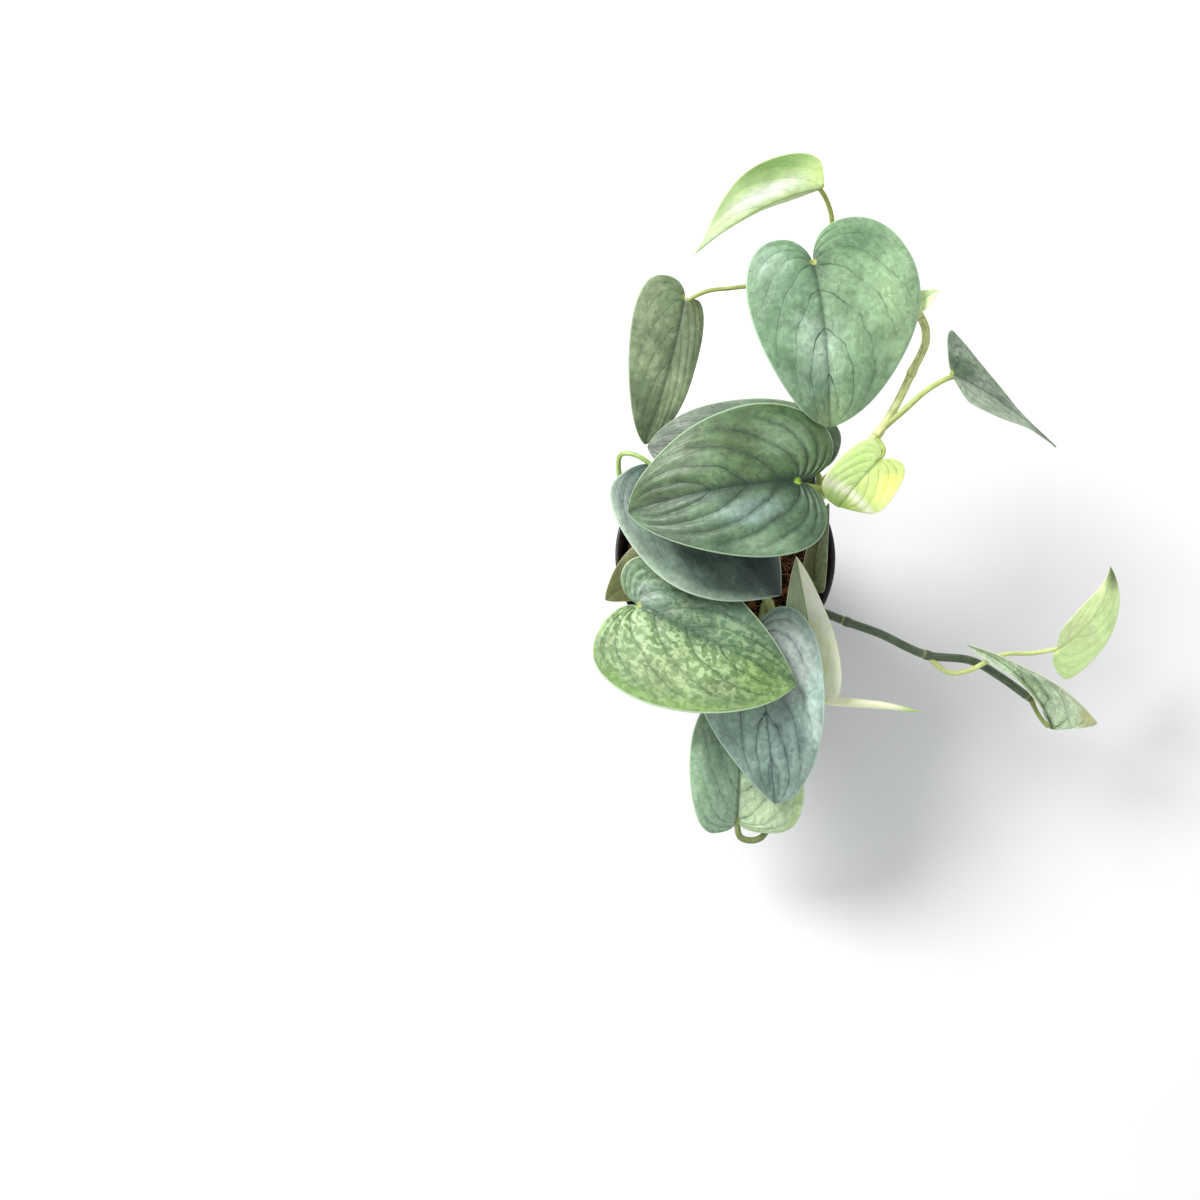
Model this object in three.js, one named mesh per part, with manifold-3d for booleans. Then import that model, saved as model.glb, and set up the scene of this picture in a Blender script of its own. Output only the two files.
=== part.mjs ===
// Potted silver hero scindapsus: a young vining aroid in a black nursery pot, in millimetres, +Z up.
// The origin is at the centre of the pot's underside. +X is to the right and +Y is towards the back,
// as the plant is seen from the front and above.
// Each leaf is a blade fused with its own leaf stalk. The stalk ends a hair's breadth from the stem that
// bears it, and each stem stands in a plain hole in the potting mix.

import * as THREE from 'three';
import { mergeVertices } from 'three/addons/utils/BufferGeometryUtils.js';
import Module from 'manifold-3d';

const wasm = await Module();
wasm.setup();

// Driving dimensions of the pot, a nursery pot of 10.5 cm
const RIM_DIAMETER = 105;
const POT_HEIGHT = 92;
const BASE_DIAMETER = 78;
const WALL = 1.2;
const FLOOR = 1.8;
const LIP_WIDTH = 3.2;
const LIP_HEIGHT = 8;
const POT_SIDES = 40;
const DRAIN_HOLES = 8;
const DRAIN_DIAMETER = 8;
const DRAIN_RING = 54;

// Driving dimensions of the potting mix
const SOIL_TOP = 81;
const SOIL_RELIEF = 2.2;
const SOIL_RINGS = 7;
const SOIL_SHOULDER = 2;
const SOIL_PLAY = 0.6;
const SOIL_DOME = 2;
const SOIL_REACH = 49;

// Gap kept between pieces that touch, and how deep a stem stands in the mix
const GAP = 0.3;
const STEM_SUNK = 14;
const STEM_SIDES = 8;
const STEM_STEPS = 3;

// Driving dimensions of a leaf
const BLADE = 0.8;
const RIB = 0.9;
const STALK_RADIUS = 1.4;
const STALK_SIDES = 6;
const STALK_STEPS = 3;

// Grid of a blade: how far along its outline, and from the midrib to the margin
const OUTLINE_STEPS = 13;
const ACROSS = [0, 0.16, 0.58, 1];
const LOBE_SHARE = 0.22;
const WIDEST_SHARE = 0.48;
const WIDEST = 0.2;
const LOBE_RISE = 0.46;
const SHOULDER = 0.32;
const FAN_END = 0.36;
const FAN_EASE = 1.25;

const COLOURS = {
  silver: 0x8fb0a0,
  green: 0x6f9277,
  slate: 0x6c8583,
  lime: 0xbfd985,
  mint: 0x9cc3a4,
  pale: 0xd3dfae,
  variegated: 0xa5c583,
  dark: 0x5f7066,
  olive: 0x7f8a55,
  stem: 0x6d7f4c,
  runner: 0x4c5c40,
  plastic: 0x1b1c1d,
  soil: 0x3e2d22,
};

// Each leaf: where the stalk meets the blade, where the tip is, how far the middle of the midrib is bowed
// off the straight line, the half widths, the reach of the lobes behind the stalk as a share of the length,
// and for each half how steeply it folds up at the midrib and how much it curls up towards the margin, in
// degrees. A pair is the left half and the right half: left is the left hand of someone who stands on the
// base and looks to the tip. Some leaves also have the place of their widest point as a share of the length,
// how blunt they are towards the tip, how straight a wedge a half is, 0 to 1, a roll about the line from base
// to tip, and a twist along the midrib, in degrees.
const LEAVES = [
  {
    name: 'leaf_heart_top', colour: 'silver', stem: 'stem_back', base: [33, 112, 178], tip: [42, 45, 153],
    bow: [1, 2, 7], widths: [45, 32], lobes: [0.24, 0.18], blunt: 0.55, folds: [6, 8], curls: [-22, -30],
    stalk: [[66, 102, 165], [52, 106, 170], [40, 110, 175]],
  },
  {
    name: 'leaf_lime_folded', colour: 'lime', stem: 'stem_back', base: [37, 142, 188], tip: [-19, 116, 176],
    bow: [0, 5, 1], widths: [8, 18], lobes: [-0.2, 0.01], widest: [0.34, 0.34], blunt: 0.1,
    folds: [-96, 16], curls: [-18, 25], roll: 7, twist: -10,
    stalk: [[42, 108, 166], [43, 124, 168], [41, 136, 178]], stalkRadius: 1.2,
  },
  {
    name: 'leaf_bud_small', colour: 'lime', stem: 'stem_back', base: [79, 97, 166], tip: [89, 103, 169],
    bow: [0, 0, 1], widths: [4, 5], lobes: [0.1, 0.1], blunt: 0.2, folds: [20, 20], curls: [0, 0],
    stalk: [[81, 94, 162], [78, 96, 163], [77, 97, 165]], stalkRadius: 1,
  },
  {
    name: 'leaf_grey_left', colour: 'dark', stem: 'stem_back', base: [-21, 108, 146], tip: [-39, 46, 122],
    bow: [2, 0, 5], widths: [12, 22], lobes: [0, 0.12], widest: [0.4, 0.2], blunt: [0.6, 0.5],
    folds: [0, 15], curls: [-30, -20], stalkRadius: 1.1,
    stalk: [[39, 107.5, 165], [20, 111, 156], [0, 111, 150], [-12, 110, 148]],
  },
  {
    name: 'leaf_dark_right', colour: 'dark', stem: 'stem_back', base: [96, 69, 156], tip: [147, 41, 135],
    bow: [-1, 3, 2], widths: [21, 10], lobes: [0.11, -0.2], widest: [0.18, 0.4], blunt: 0.05,
    wedge: [1, 0.3], folds: [-12, -14], curls: [20, 20], roll: -12, twist: -38,
    stalk: [[64, 44, 149], [74, 52, 152], [86, 62, 155]],
  },
  {
    name: 'leaf_lime_centre', colour: 'lime', stem: 'stem_back', base: [62, 28, 158], tip: [47, 12, 140],
    bow: [-2, -2, 8], widths: [16, 14], lobes: [0.23, 0.18], widest: 0.42, blunt: [0.25, 0.7],
    folds: [4, 22], curls: [8, 0], stalk: [[63, 42, 148], [65, 37, 152], [65, 33, 155]], stalkRadius: 1.2,
  },
  {
    name: 'leaf_green_centre', colour: 'green', stem: 'stem_middle', base: [27, 20, 155], tip: [-47, 9, 143],
    bow: [0, 1, 8], widths: [33, 37], lobes: [0.14, 0.24], blunt: 0.5, folds: [12, 9], curls: [-25, -25],
    stalk: [[41.5, 19.8, 133.5], [43, 20, 138], [40, 19, 144], [33, 19, 150]],
  },
  {
    name: 'leaf_grey_under_centre', colour: 'slate', stem: 'stem_middle', base: [35, 28, 144],
    tip: [-38, 42, 132], bow: [0, 2, 5], widths: [28, 29], lobes: [0.05, 0.12], blunt: 0.5, folds: [5, 5],
    curls: [-20, -20], stalk: [[38, 17.7, 129.5], [39, 23, 135], [38, 27, 140]],
  },
  {
    name: 'leaf_slate_middle', colour: 'slate', stem: 'stem_left', base: [-34, 36, 120], tip: [23, -24, 118],
    bow: [0, 0, 6], widths: [24, 36], lobes: [0.06, 0.1], widest: 0.42, blunt: [0.35, 0.4], folds: [4, 8],
    curls: [-20, -10], stalk: [[-27, 0, 95], [-38, 14, 99], [-50, 32, 110], [-50, 42, 118], [-43, 41, 121]],
  },
  {
    name: 'leaf_olive_small', colour: 'olive', stem: 'stem_left', base: [-28, -5, 104], tip: [-57, -22, 94],
    bow: [0, 0, 4], widths: [12, 14], lobes: [0.1, 0.1], blunt: 0.4, folds: [10, 10], curls: [-20, -20],
    stalk: [[-28, -1, 96], [-27, -3, 99], [-26, -4, 102]], stalkRadius: 1.1,
  },
  {
    name: 'leaf_variegated', colour: 'variegated', stem: 'stem_left', base: [-42, -28, 113],
    tip: [30, -64, 113], bow: [0, -1, 6], widths: [28, 39], lobes: [0.18, 0.13], blunt: [0.3, 0.5],
    folds: [8, 8], curls: [-20, -22], stalk: [[-30, -4, 97], [-32, -16, 95], [-37, -27, 99], [-42, -31, 106]],
  },
  {
    name: 'leaf_silver_front', colour: 'silver', stem: 'stem_front', base: [13, -43, 104],
    tip: [22, -117, 84], bow: [0, 0, 6], widths: [28, 32], lobes: [0.18, 0.15], blunt: [0.7, 0.3],
    folds: [6, 6], curls: [-12, -20], roll: 12, stalk: [[18, -24, 91], [16, -32, 95], [14, -39, 100]],
  },
  {
    name: 'leaf_pale_upright', colour: 'pale', stem: 'stem_front', base: [42, -64, 90], tip: [31, -5, 113],
    bow: [2, -1, -6], widths: [15, 13], lobes: [0.1, 0.1], blunt: 0.35, folds: [4, 25], curls: [10, 10],
    stalk: [[32, -55, 94.5], [38, -64, 91], [43, -68, 89]], stalkRadius: 1.1,
  },
  {
    name: 'leaf_mint_hanging', colour: 'mint', stem: 'stem_front', base: [6, -124, 66], tip: [7, -64, 84],
    bow: [0, 0, 6], widths: [24, 31], lobes: [0.1, 0.1], widest: [0.42, 0.2], blunt: [0.75, 0.5],
    folds: [12, 12], curls: [-25, -25], stalkRadius: 1.8,
    stalk: [[34, -66, 86], [28, -100, 68], [18, -132, 58], [8, -132, 60]],
  },
  {
    name: 'leaf_narrow_rim', colour: 'dark', stem: 'stem_runner', base: [41, -15, 98], tip: [46, 19, 118],
    bow: [-2, 0, 0], widths: [7, 7], lobes: [0.1, 0.1], blunt: 0.4, folds: [35, 35], curls: [10, 10],
    stalk: [[32, -20, 88], [36, -19, 92], [40, -18, 96]], stalkRadius: 1,
  },
  {
    name: 'leaf_runner_folded', colour: 'dark', stem: 'stem_runner', base: [158, -81, 70],
    tip: [114, -42, 86], bow: [4, 4, 4], widths: [5, 21], lobes: [-0.18, 0.1], widest: [0.5, -0.1],
    blunt: [0.45, 0.2], wedge: [0, 1], folds: [55, 30], curls: [40, 8], twist: -55,
    stalk: [[148, -66, 69], [152, -73, 66], [156, -79, 67]], stalkRadius: 1.1,
  },
  {
    name: 'leaf_runner_young', colour: 'pale', stem: 'stem_runner', base: [159, -44, 77], tip: [183, -5, 90],
    bow: [6, -2, 2], widths: [8, 15], lobes: [-0.1, 0.11], widest: [0.4, 0.02], blunt: [0.1, 0.35],
    wedge: 0.2, folds: [6, 3], curls: [0, -8], stalkRadius: 1.2,
    stalk: [[95, -47.5, 86.5], [106, -55, 82], [116, -54, 82], [124, -50, 82.5], [134, -46, 81],
      [148, -45, 77]],
  },
];

// The rolled new leaf: a spear that narrows to its tip. The shares are places along it and radii.
const SPEAR = {
  name: 'leaf_rolled_spear', colour: 'pale', radius: 2.3, sides: 8,
  shares: [[0, 0], [0, 0.75], [0.15, 0.85], [0.4, 1], [0.65, 0.88], [0.85, 0.55], [1, 0]],
  path: [[37, -68, 86], [52, -69, 84], [75, -71, 84], [92, -74, 83]],
};

// Each stem, from the foot in the potting mix to its end
const STEMS = [
  {
    name: 'stem_back', colour: 'stem', radius: 2, foot: [24, 14],
    path: [[26, 16, 92], [34, 22, 112], [48, 31, 134], [62, 41, 148], [71, 54, 151], [79, 70, 154],
      [85, 84, 158], [82, 93, 162], [70, 100, 164], [54, 105, 165], [38, 108, 165]],
  },
  {
    name: 'stem_middle', colour: 'stem', radius: 2.4, foot: [12, 4],
    path: [[14, 5, 92], [22, 9, 108], [33, 15, 124], [42, 20, 134]],
  },
  {
    name: 'stem_left', colour: 'stem', radius: 2.4, foot: [-22, 4],
    path: [[-23, 3, 90], [-27, 0, 95], [-30, -4, 97]],
  },
  {
    name: 'stem_front', colour: 'stem', radius: 2.4, foot: [18, -14],
    path: [[19, -20, 89], [24, -34, 94], [30, -50, 96], [34, -60, 93], [37, -68, 88]],
  },
  {
    name: 'stem_runner', colour: 'runner', radius: 2.1, foot: [30, -20],
    path: [[32, -22, 90], [42, -27, 96], [56, -33, 97], [72, -38, 93], [94, -47, 87], [118, -49, 79],
      [133, -56, 73], [148, -66, 69]],
  },
];

const toVector = (p) => new THREE.Vector3(...p);
const radians = THREE.MathUtils.degToRad;

// Only position is kept, shared vertices are merged and the faces point out
function closedGeometry(geometry) {
  geometry.deleteAttribute('normal');
  geometry.deleteAttribute('uv');
  const merged = mergeVertices(geometry, 1e-3);
  const position = merged.getAttribute('position');
  const corner = [new THREE.Vector3(), new THREE.Vector3(), new THREE.Vector3()];
  const kept = [];
  let volume = 0;
  for (let i = 0; i < merged.index.count; i += 3) {
    const face = [0, 1, 2].map((k) => merged.index.getX(i + k));
    if (face[0] === face[1] || face[1] === face[2] || face[2] === face[0]) continue;
    face.forEach((vertex, k) => corner[k].fromBufferAttribute(position, vertex));
    volume += corner[0].dot(corner[1].cross(corner[2]));
    kept.push(...face);
  }
  if (volume < 0) kept.reverse();
  merged.setIndex(kept);
  return merged;
}

function toSolid(geometry) {
  const closed = closedGeometry(geometry);
  const vertProperties = new Float32Array(closed.getAttribute('position').array);
  const triVerts = new Uint32Array(closed.index.array);
  return new wasm.Manifold(new wasm.Mesh({ numProp: 3, vertProperties, triVerts }));
}

function toGeometry(solid) {
  const mesh = solid.getMesh();
  const geometry = new THREE.BufferGeometry();
  const position = new Float32Array(mesh.numVert * 3);
  for (let i = 0; i < mesh.numVert; i += 1) {
    for (let k = 0; k < 3; k += 1) position[i * 3 + k] = mesh.vertProperties[i * mesh.numProp + k];
  }
  geometry.setAttribute('position', new THREE.BufferAttribute(position, 3));
  geometry.setIndex(Array.from(mesh.triVerts));
  geometry.computeVertexNormals();
  return geometry;
}

function tube(path, radius, sides, steps) {
  const round = new THREE.Shape();
  for (let i = 0; i < sides; i += 1) {
    const turn = (2 * Math.PI * i) / sides;
    const place = [radius * Math.cos(turn), radius * Math.sin(turn)];
    if (i === 0) round.moveTo(...place);
    else round.lineTo(...place);
  }
  round.closePath();
  const curve = new THREE.CatmullRomCurve3(path, false, 'centripetal');
  return new THREE.ExtrudeGeometry(round, { steps, extrudePath: curve, bevelEnabled: false });
}

// A value given once for the whole leaf, or as a pair for its two halves
const ofHalf = (value, half) => (Array.isArray(value) ? value[half] : value);

// Half of the outline of a flat leaf, from the notch at the stalk round the lobe to the tip:
// the place along the midrib and the distance from it, as shares of the length and the half width.
// The rounded half has three Bezier stretches. A wedge goes straight from the stalk to the lobe's corner
// and straight on to the tip, and a half can lie between the two.
function outlinePoint(s, leaf, half) {
  const lobe = leaf.lobes[half];
  const widest = ofHalf(leaf.widest ?? WIDEST, half);
  const blunt = ofHalf(leaf.blunt, half);
  const wedge = ofHalf(leaf.wedge ?? 0, half);
  const rounded = [
    [0, 0], [-0.45 * lobe, 0.02], [-lobe, 0.16], [-lobe, LOBE_RISE],
    [-lobe, 0.78], [Math.max(widest - 0.24, -lobe), 1], [widest, 1],
    [widest + SHOULDER, 1], [0.8 + blunt / 4, blunt], [1, 0],
  ];
  const toCorner = (share) => [-lobe * share, share];
  const toTip = (share) => [-lobe + (1 + lobe) * share, 1 - share];
  const straight = [
    toCorner(0), toCorner(0.16), toCorner(0.32), toCorner(LOBE_RISE),
    toCorner(0.8), toCorner(0.97), toTip(0.04),
    toTip(0.35), toTip(0.7), toTip(1),
  ];
  const corners = rounded.map(([x, y], k) => (
    new THREE.Vector2(x, y).lerp(new THREE.Vector2(...straight[k]), wedge)));
  const ends = [0, LOBE_SHARE, WIDEST_SHARE, 1];
  const stretch = s < LOBE_SHARE ? 0 : s < WIDEST_SHARE ? 1 : 2;
  const share = (s - ends[stretch]) / (ends[stretch + 1] - ends[stretch]);
  return new THREE.CubicBezierCurve(...corners.slice(3 * stretch, 3 * stretch + 4)).getPoint(share);
}

// Where on the midrib the vein starts that reaches the outline at s
function veinStart(s) {
  return Math.max(0, (s - FAN_END) / (1 - FAN_END)) ** FAN_EASE;
}

// The frame of a leaf: the bowed midrib and the direction of its left hand
function leafFrame(leaf) {
  const base = toVector(leaf.base);
  const tip = toVector(leaf.tip);
  const chord = tip.clone().sub(base);
  const middle = base.clone().lerp(tip, 0.5).addScaledVector(toVector(leaf.bow), 2);
  const side = new THREE.Vector3(0, 0, 1).cross(chord).normalize();
  side.applyAxisAngle(chord.clone().normalize(), radians(leaf.roll ?? 0));
  return { ...leaf, side, midrib: new THREE.QuadraticBezierCurve3(base, middle, tip) };
}

// A point of the blade's middle surface: along is a share of the length, across is in millimetres
function bladePoint(leaf, along, across) {
  const inside = THREE.MathUtils.clamp(along, 0, 1);
  const tangent = leaf.midrib.getTangent(inside);
  const side = leaf.side.clone().addScaledVector(tangent, -leaf.side.dot(tangent)).normalize();
  side.applyAxisAngle(tangent, radians(leaf.twist ?? 0) * along);
  const normal = tangent.clone().cross(side);
  const half = across >= 0 ? 0 : 1;
  const width = leaf.widths[half];
  const distance = Math.abs(across);
  const fold = radians(leaf.folds[half]);
  const bend = radians(leaf.curls[half] || 0.1) / width;
  const out = (Math.sin(fold + bend * distance) - Math.sin(fold)) / bend;
  const up = (Math.cos(fold) - Math.cos(fold + bend * distance)) / bend;
  const back = Math.min(along, 0) * leaf.midrib.getLength();
  return leaf.midrib.getPoint(inside)
    .addScaledVector(tangent, back)
    .addScaledVector(side, half === 0 ? out : -out)
    .addScaledVector(normal, up);
}

function bladeNormal(leaf, along, across) {
  const step = 0.01;
  const ahead = bladePoint(leaf, along + step, across).sub(bladePoint(leaf, along - step, across));
  const reach = 0.4;
  const beside = bladePoint(leaf, along, across + reach).sub(bladePoint(leaf, along, across - reach));
  return ahead.cross(beside).normalize();
}

// The blade: a thin curved sheet with a raised midrib below, and the same triangles on both faces
function blade(leaf) {
  const corners = [];
  const faces = [];
  const vertex = (i, j, half, level) => {
    const s = i / OUTLINE_STEPS;
    const w = ACROSS[j];
    const outline = outlinePoint(s, leaf, half);
    const start = veinStart(s);
    const along = start + (outline.x - start) * w;
    const across = outline.y * w * leaf.widths[half] * (half === 0 ? 1 : -1);
    const rib = level < 0 && j === 0 ? RIB * (1 - start) : 0;
    const offset = level * (BLADE / 2 + rib);
    const place = bladePoint(leaf, along, across).addScaledVector(bladeNormal(leaf, along, across), offset);
    corners.push(...place.toArray());
    return corners.length / 3 - 1;
  };
  for (const half of [0, 1]) {
    const grid = [1, -1].map((level) => Array.from({ length: OUTLINE_STEPS + 1 }, (_, i) => (
      ACROSS.map((_w, j) => vertex(i, j, half, level)))));
    const quad = (a, b, c, d) => {
      if (half === 0) faces.push(a, b, c, a, c, d);
      else faces.push(a, c, b, a, d, c);
    };
    for (let i = 0; i < OUTLINE_STEPS; i += 1) {
      for (let j = 0; j < ACROSS.length - 1; j += 1) {
        const [top, bottom] = grid;
        quad(top[i][j], top[i + 1][j], top[i + 1][j + 1], top[i][j + 1]);
        quad(bottom[i][j + 1], bottom[i + 1][j + 1], bottom[i + 1][j], bottom[i][j]);
      }
      const edge = ACROSS.length - 1;
      const [top, bottom] = grid;
      quad(top[i][edge], top[i + 1][edge], bottom[i + 1][edge], bottom[i][edge]);
    }
  }
  const geometry = new THREE.BufferGeometry();
  geometry.setAttribute('position', new THREE.Float32BufferAttribute(corners, 3));
  geometry.setAttribute('normal', new THREE.Float32BufferAttribute(corners, 3));
  geometry.setIndex(faces);
  return geometry;
}

// A cut can leave a scrap of the stalk's end beyond the stem: only the leaf itself is kept
function largestBody(solid) {
  return solid.decompose().sort((a, b) => b.volume() - a.volume())[0];
}

// A leaf: the blade and its stalk in one body, cut back from the stem that bears it
function leafGeometry(data, stemsFat) {
  const leaf = leafFrame(data);
  const normal = bladeNormal(leaf, 0.03, 0);
  const hold = leaf.midrib.getPoint(0.05).addScaledVector(normal, -BLADE);
  const path = [...leaf.stalk.map(toVector), hold];
  const steps = STALK_STEPS * (path.length - 1);
  const stalk = toSolid(tube(path, leaf.stalkRadius ?? STALK_RADIUS, STALK_SIDES, steps));
  return toGeometry(largestBody(toSolid(blade(leaf)).add(stalk).subtract(stemsFat[leaf.stem])));
}

function spearGeometry(stemsFat) {
  const curve = new THREE.CatmullRomCurve3(SPEAR.path.map(toVector));
  const profile = SPEAR.shares.map(([place, share]) => new THREE.Vector2(share * SPEAR.radius, place));
  const geometry = new THREE.LatheGeometry(profile, SPEAR.sides);
  const position = geometry.getAttribute('position');
  const side = new THREE.Vector3(0, 1, 0);
  for (let i = 0; i < position.count; i += 1) {
    const place = position.getY(i);
    const tangent = curve.getTangent(place);
    const across = side.clone().addScaledVector(tangent, -side.dot(tangent)).normalize();
    const lift = across.clone().cross(tangent);
    const point = curve.getPoint(place)
      .addScaledVector(across, position.getX(i))
      .addScaledVector(lift, position.getZ(i));
    position.setXYZ(i, point.x, point.y, point.z);
  }
  return toGeometry(toSolid(geometry).subtract(stemsFat.stem_front));
}

function stemGeometry(stem, grown) {
  const foot = [[...stem.foot, SOIL_TOP - STEM_SUNK - grown], [...stem.foot, SOIL_TOP - 4]];
  const path = [...foot, ...stem.path].map(toVector);
  const [before, end] = path.slice(-2);
  end.add(end.clone().sub(before).setLength(grown));
  return tube(path, stem.radius + grown, STEM_SIDES, STEM_STEPS * path.length);
}

// The pot: floor, sloping wall and a rim band that stands out, then drain holes through the floor
function potGeometry() {
  const rim = RIM_DIAMETER / 2;
  const base = BASE_DIAMETER / 2;
  const neck = rim - LIP_WIDTH;
  const bandFoot = POT_HEIGHT - LIP_HEIGHT;
  const profile = [
    [0, 0], [base - 1, 0], [base, 1], [neck, bandFoot], [neck + 1.2, bandFoot + 0.6],
    [rim - 0.6, POT_HEIGHT - 2.2], [rim, POT_HEIGHT - 1.2], [rim - 0.5, POT_HEIGHT], [rim - 1.9, POT_HEIGHT],
    [rim - 2.6, POT_HEIGHT - 1], [neck - WALL, bandFoot - 1], [base - WALL, FLOOR], [0, FLOOR],
  ].map(([radius, height]) => new THREE.Vector2(radius, height));
  let pot = toSolid(new THREE.LatheGeometry(profile, POT_SIDES).rotateX(Math.PI / 2));
  for (let i = 0; i < DRAIN_HOLES; i += 1) {
    const turn = (2 * Math.PI * i) / DRAIN_HOLES;
    const hole = new THREE.CylinderGeometry(DRAIN_DIAMETER / 2, DRAIN_DIAMETER / 2, 4 * FLOOR, 10)
      .rotateX(Math.PI / 2)
      .translate((DRAIN_RING / 2) * Math.cos(turn), (DRAIN_RING / 2) * Math.sin(turn), 0);
    pot = pot.subtract(toSolid(hole));
  }
  return toGeometry(pot);
}

// The height of the potting mix: a gently lumpy bed, higher in the middle
function soilHeight(x, y) {
  const lumps = Math.sin(x / 4.1 + 1) * Math.cos(y / 5.3) + 0.6 * Math.sin((x + y) / 3.1);
  return SOIL_TOP + SOIL_RELIEF * 0.4 * lumps + SOIL_DOME * (1 - (x * x + y * y) / SOIL_REACH ** 2);
}

function soilGeometry(stemsFat) {
  const rim = RIM_DIAMETER / 2 - LIP_WIDTH - WALL;
  const base = BASE_DIAMETER / 2 - WALL;
  const slope = (rim - base) / (POT_HEIGHT - LIP_HEIGHT - 1 - FLOOR);
  const wallAt = (z) => base + slope * (z - FLOOR) - SOIL_PLAY;
  const foot = FLOOR + GAP;
  const shoulder = SOIL_TOP - SOIL_SHOULDER;
  const edge = wallAt(shoulder);
  const profile = [[0, foot], [wallAt(foot), foot], [edge, shoulder]];
  for (let ring = SOIL_RINGS; ring >= 0; ring -= 1) {
    profile.push([(edge * ring) / (SOIL_RINGS + 0.4), SOIL_TOP]);
  }
  const points = profile.map(([radius, height]) => new THREE.Vector2(radius, height));
  const geometry = new THREE.LatheGeometry(points, POT_SIDES / 2 + 4).rotateX(Math.PI / 2);
  const position = geometry.getAttribute('position');
  for (let i = 0; i < position.count; i += 1) {
    if (position.getZ(i) > SOIL_TOP - 1) position.setZ(i, soilHeight(position.getX(i), position.getY(i)));
  }
  let soil = toSolid(geometry);
  for (const stem of STEMS) soil = soil.subtract(stemsFat[stem.name]);
  return toGeometry(soil);
}

const group = new THREE.Group();

function addPiece(name, geometry, colour, roughness) {
  const material = new THREE.MeshStandardMaterial({ color: COLOURS[colour], roughness, metalness: 0 });
  const mesh = new THREE.Mesh(geometry, material);
  mesh.name = name;
  group.add(mesh);
}

const stemsFat = Object.fromEntries(STEMS.map((stem) => [stem.name, toSolid(stemGeometry(stem, GAP))]));
addPiece('pot', potGeometry(), 'plastic', 0.45);
addPiece('potting_mix', soilGeometry(stemsFat), 'soil', 0.95);
for (const stem of STEMS) addPiece(stem.name, toGeometry(toSolid(stemGeometry(stem, 0))), stem.colour, 0.5);
for (const leaf of LEAVES) addPiece(leaf.name, leafGeometry(leaf, stemsFat), leaf.colour, 0.5);
addPiece(SPEAR.name, spearGeometry(stemsFat), SPEAR.colour, 0.5);

export default group;
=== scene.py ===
import math
import random

import bpy
import numpy as np
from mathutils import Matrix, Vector, noise


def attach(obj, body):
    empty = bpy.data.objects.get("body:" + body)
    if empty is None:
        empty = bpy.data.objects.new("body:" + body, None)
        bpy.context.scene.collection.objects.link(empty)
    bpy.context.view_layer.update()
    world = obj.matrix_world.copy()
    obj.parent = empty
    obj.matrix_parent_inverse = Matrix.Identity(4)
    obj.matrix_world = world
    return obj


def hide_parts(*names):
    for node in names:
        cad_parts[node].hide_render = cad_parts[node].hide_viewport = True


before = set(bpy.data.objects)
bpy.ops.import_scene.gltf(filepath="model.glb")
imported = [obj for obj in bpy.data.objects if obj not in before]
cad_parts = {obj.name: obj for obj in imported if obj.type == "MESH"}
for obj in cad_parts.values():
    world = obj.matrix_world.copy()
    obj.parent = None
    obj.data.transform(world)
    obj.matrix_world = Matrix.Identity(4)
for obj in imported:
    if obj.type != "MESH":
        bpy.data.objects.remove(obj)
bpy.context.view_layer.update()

# A potted silver hero scindapsus. Lengths are in millimetres until a mesh is made, which is in metres.
MM = 0.001
TINY = 1e-9
ROUND = 2 * math.pi

# Pot and potting mix, as the frame has them
RIM_RADIUS = 52.5
POT_HEIGHT = 92.0
BASE_RADIUS = 39.0
WALL = 1.2
FLOOR = 1.8
LIP_WIDTH = 3.2
LIP_HEIGHT = 8.0
POT_SIDES = 144
POT_ROUNDING = 0.7
DRAIN_HOLES = 8
DRAIN_RADIUS = 4.0
DRAIN_RING = 27.0
DRAIN_SIDES = 24
DRAIN_CUT = (-3, 5)
SOIL_TOP = 81.0
SOIL_RELIEF = 2.2
SOIL_EDGE = 46.8
SOIL_DOME = 2
SOIL_REACH = 49
SOIL_FLOOR = FLOOR + 0.3
SOIL_FOOT = BASE_RADIUS - WALL - 0.6
SOIL_RINGS = 70
SOIL_SIDES = 200

# Loose litter on the potting mix: the number of fibres and of chips, and two chips at the left rim
FIBRES = 520
FIBRE_STEPS = 9
FIBRE_SIDES = 5
CHIPS = 150
CHIP_ROWS = 7
CHIP_SIDES = 10
RIM_CHIPS = (((-42, 12, 86), 4.2), ((-43, 5, 86), 3.2))
LITTER_SEED = 7

# Leaf forms, as the frame has them
BLADE = 0.8
RIB = 0.9
STALK_RADIUS = 1.4
LOBE_SHARE = 0.22
WIDEST_SHARE = 0.48
WIDEST = 0.2
BLUNT = 0.5
LOBE_RISE = 0.46
SHOULDER = 0.32
FAN_END = 0.36
FAN_EASE = 1.25

# Fine grid of a blade: rows along its outline and columns from the midrib to the margin. Points that fall on
# the same step of WELD become one, and a blade has no width where its points are nearer than TOGETHER.
ROWS = 108
COLUMNS = 24
COLUMN_EASE = 1.25
EDGE_THICKNESS = 0.42
WELD = 0.002
TOGETHER = 0.001

# Steps of a curve between two of the points that it goes through
CURVE_STEPS = 40

# How the side veins run: their number in a half, how far they sweep forward and how late
VEINS = 6.5
VEIN_SWEEP = 0.38
VEIN_EASE = 1.5

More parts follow.
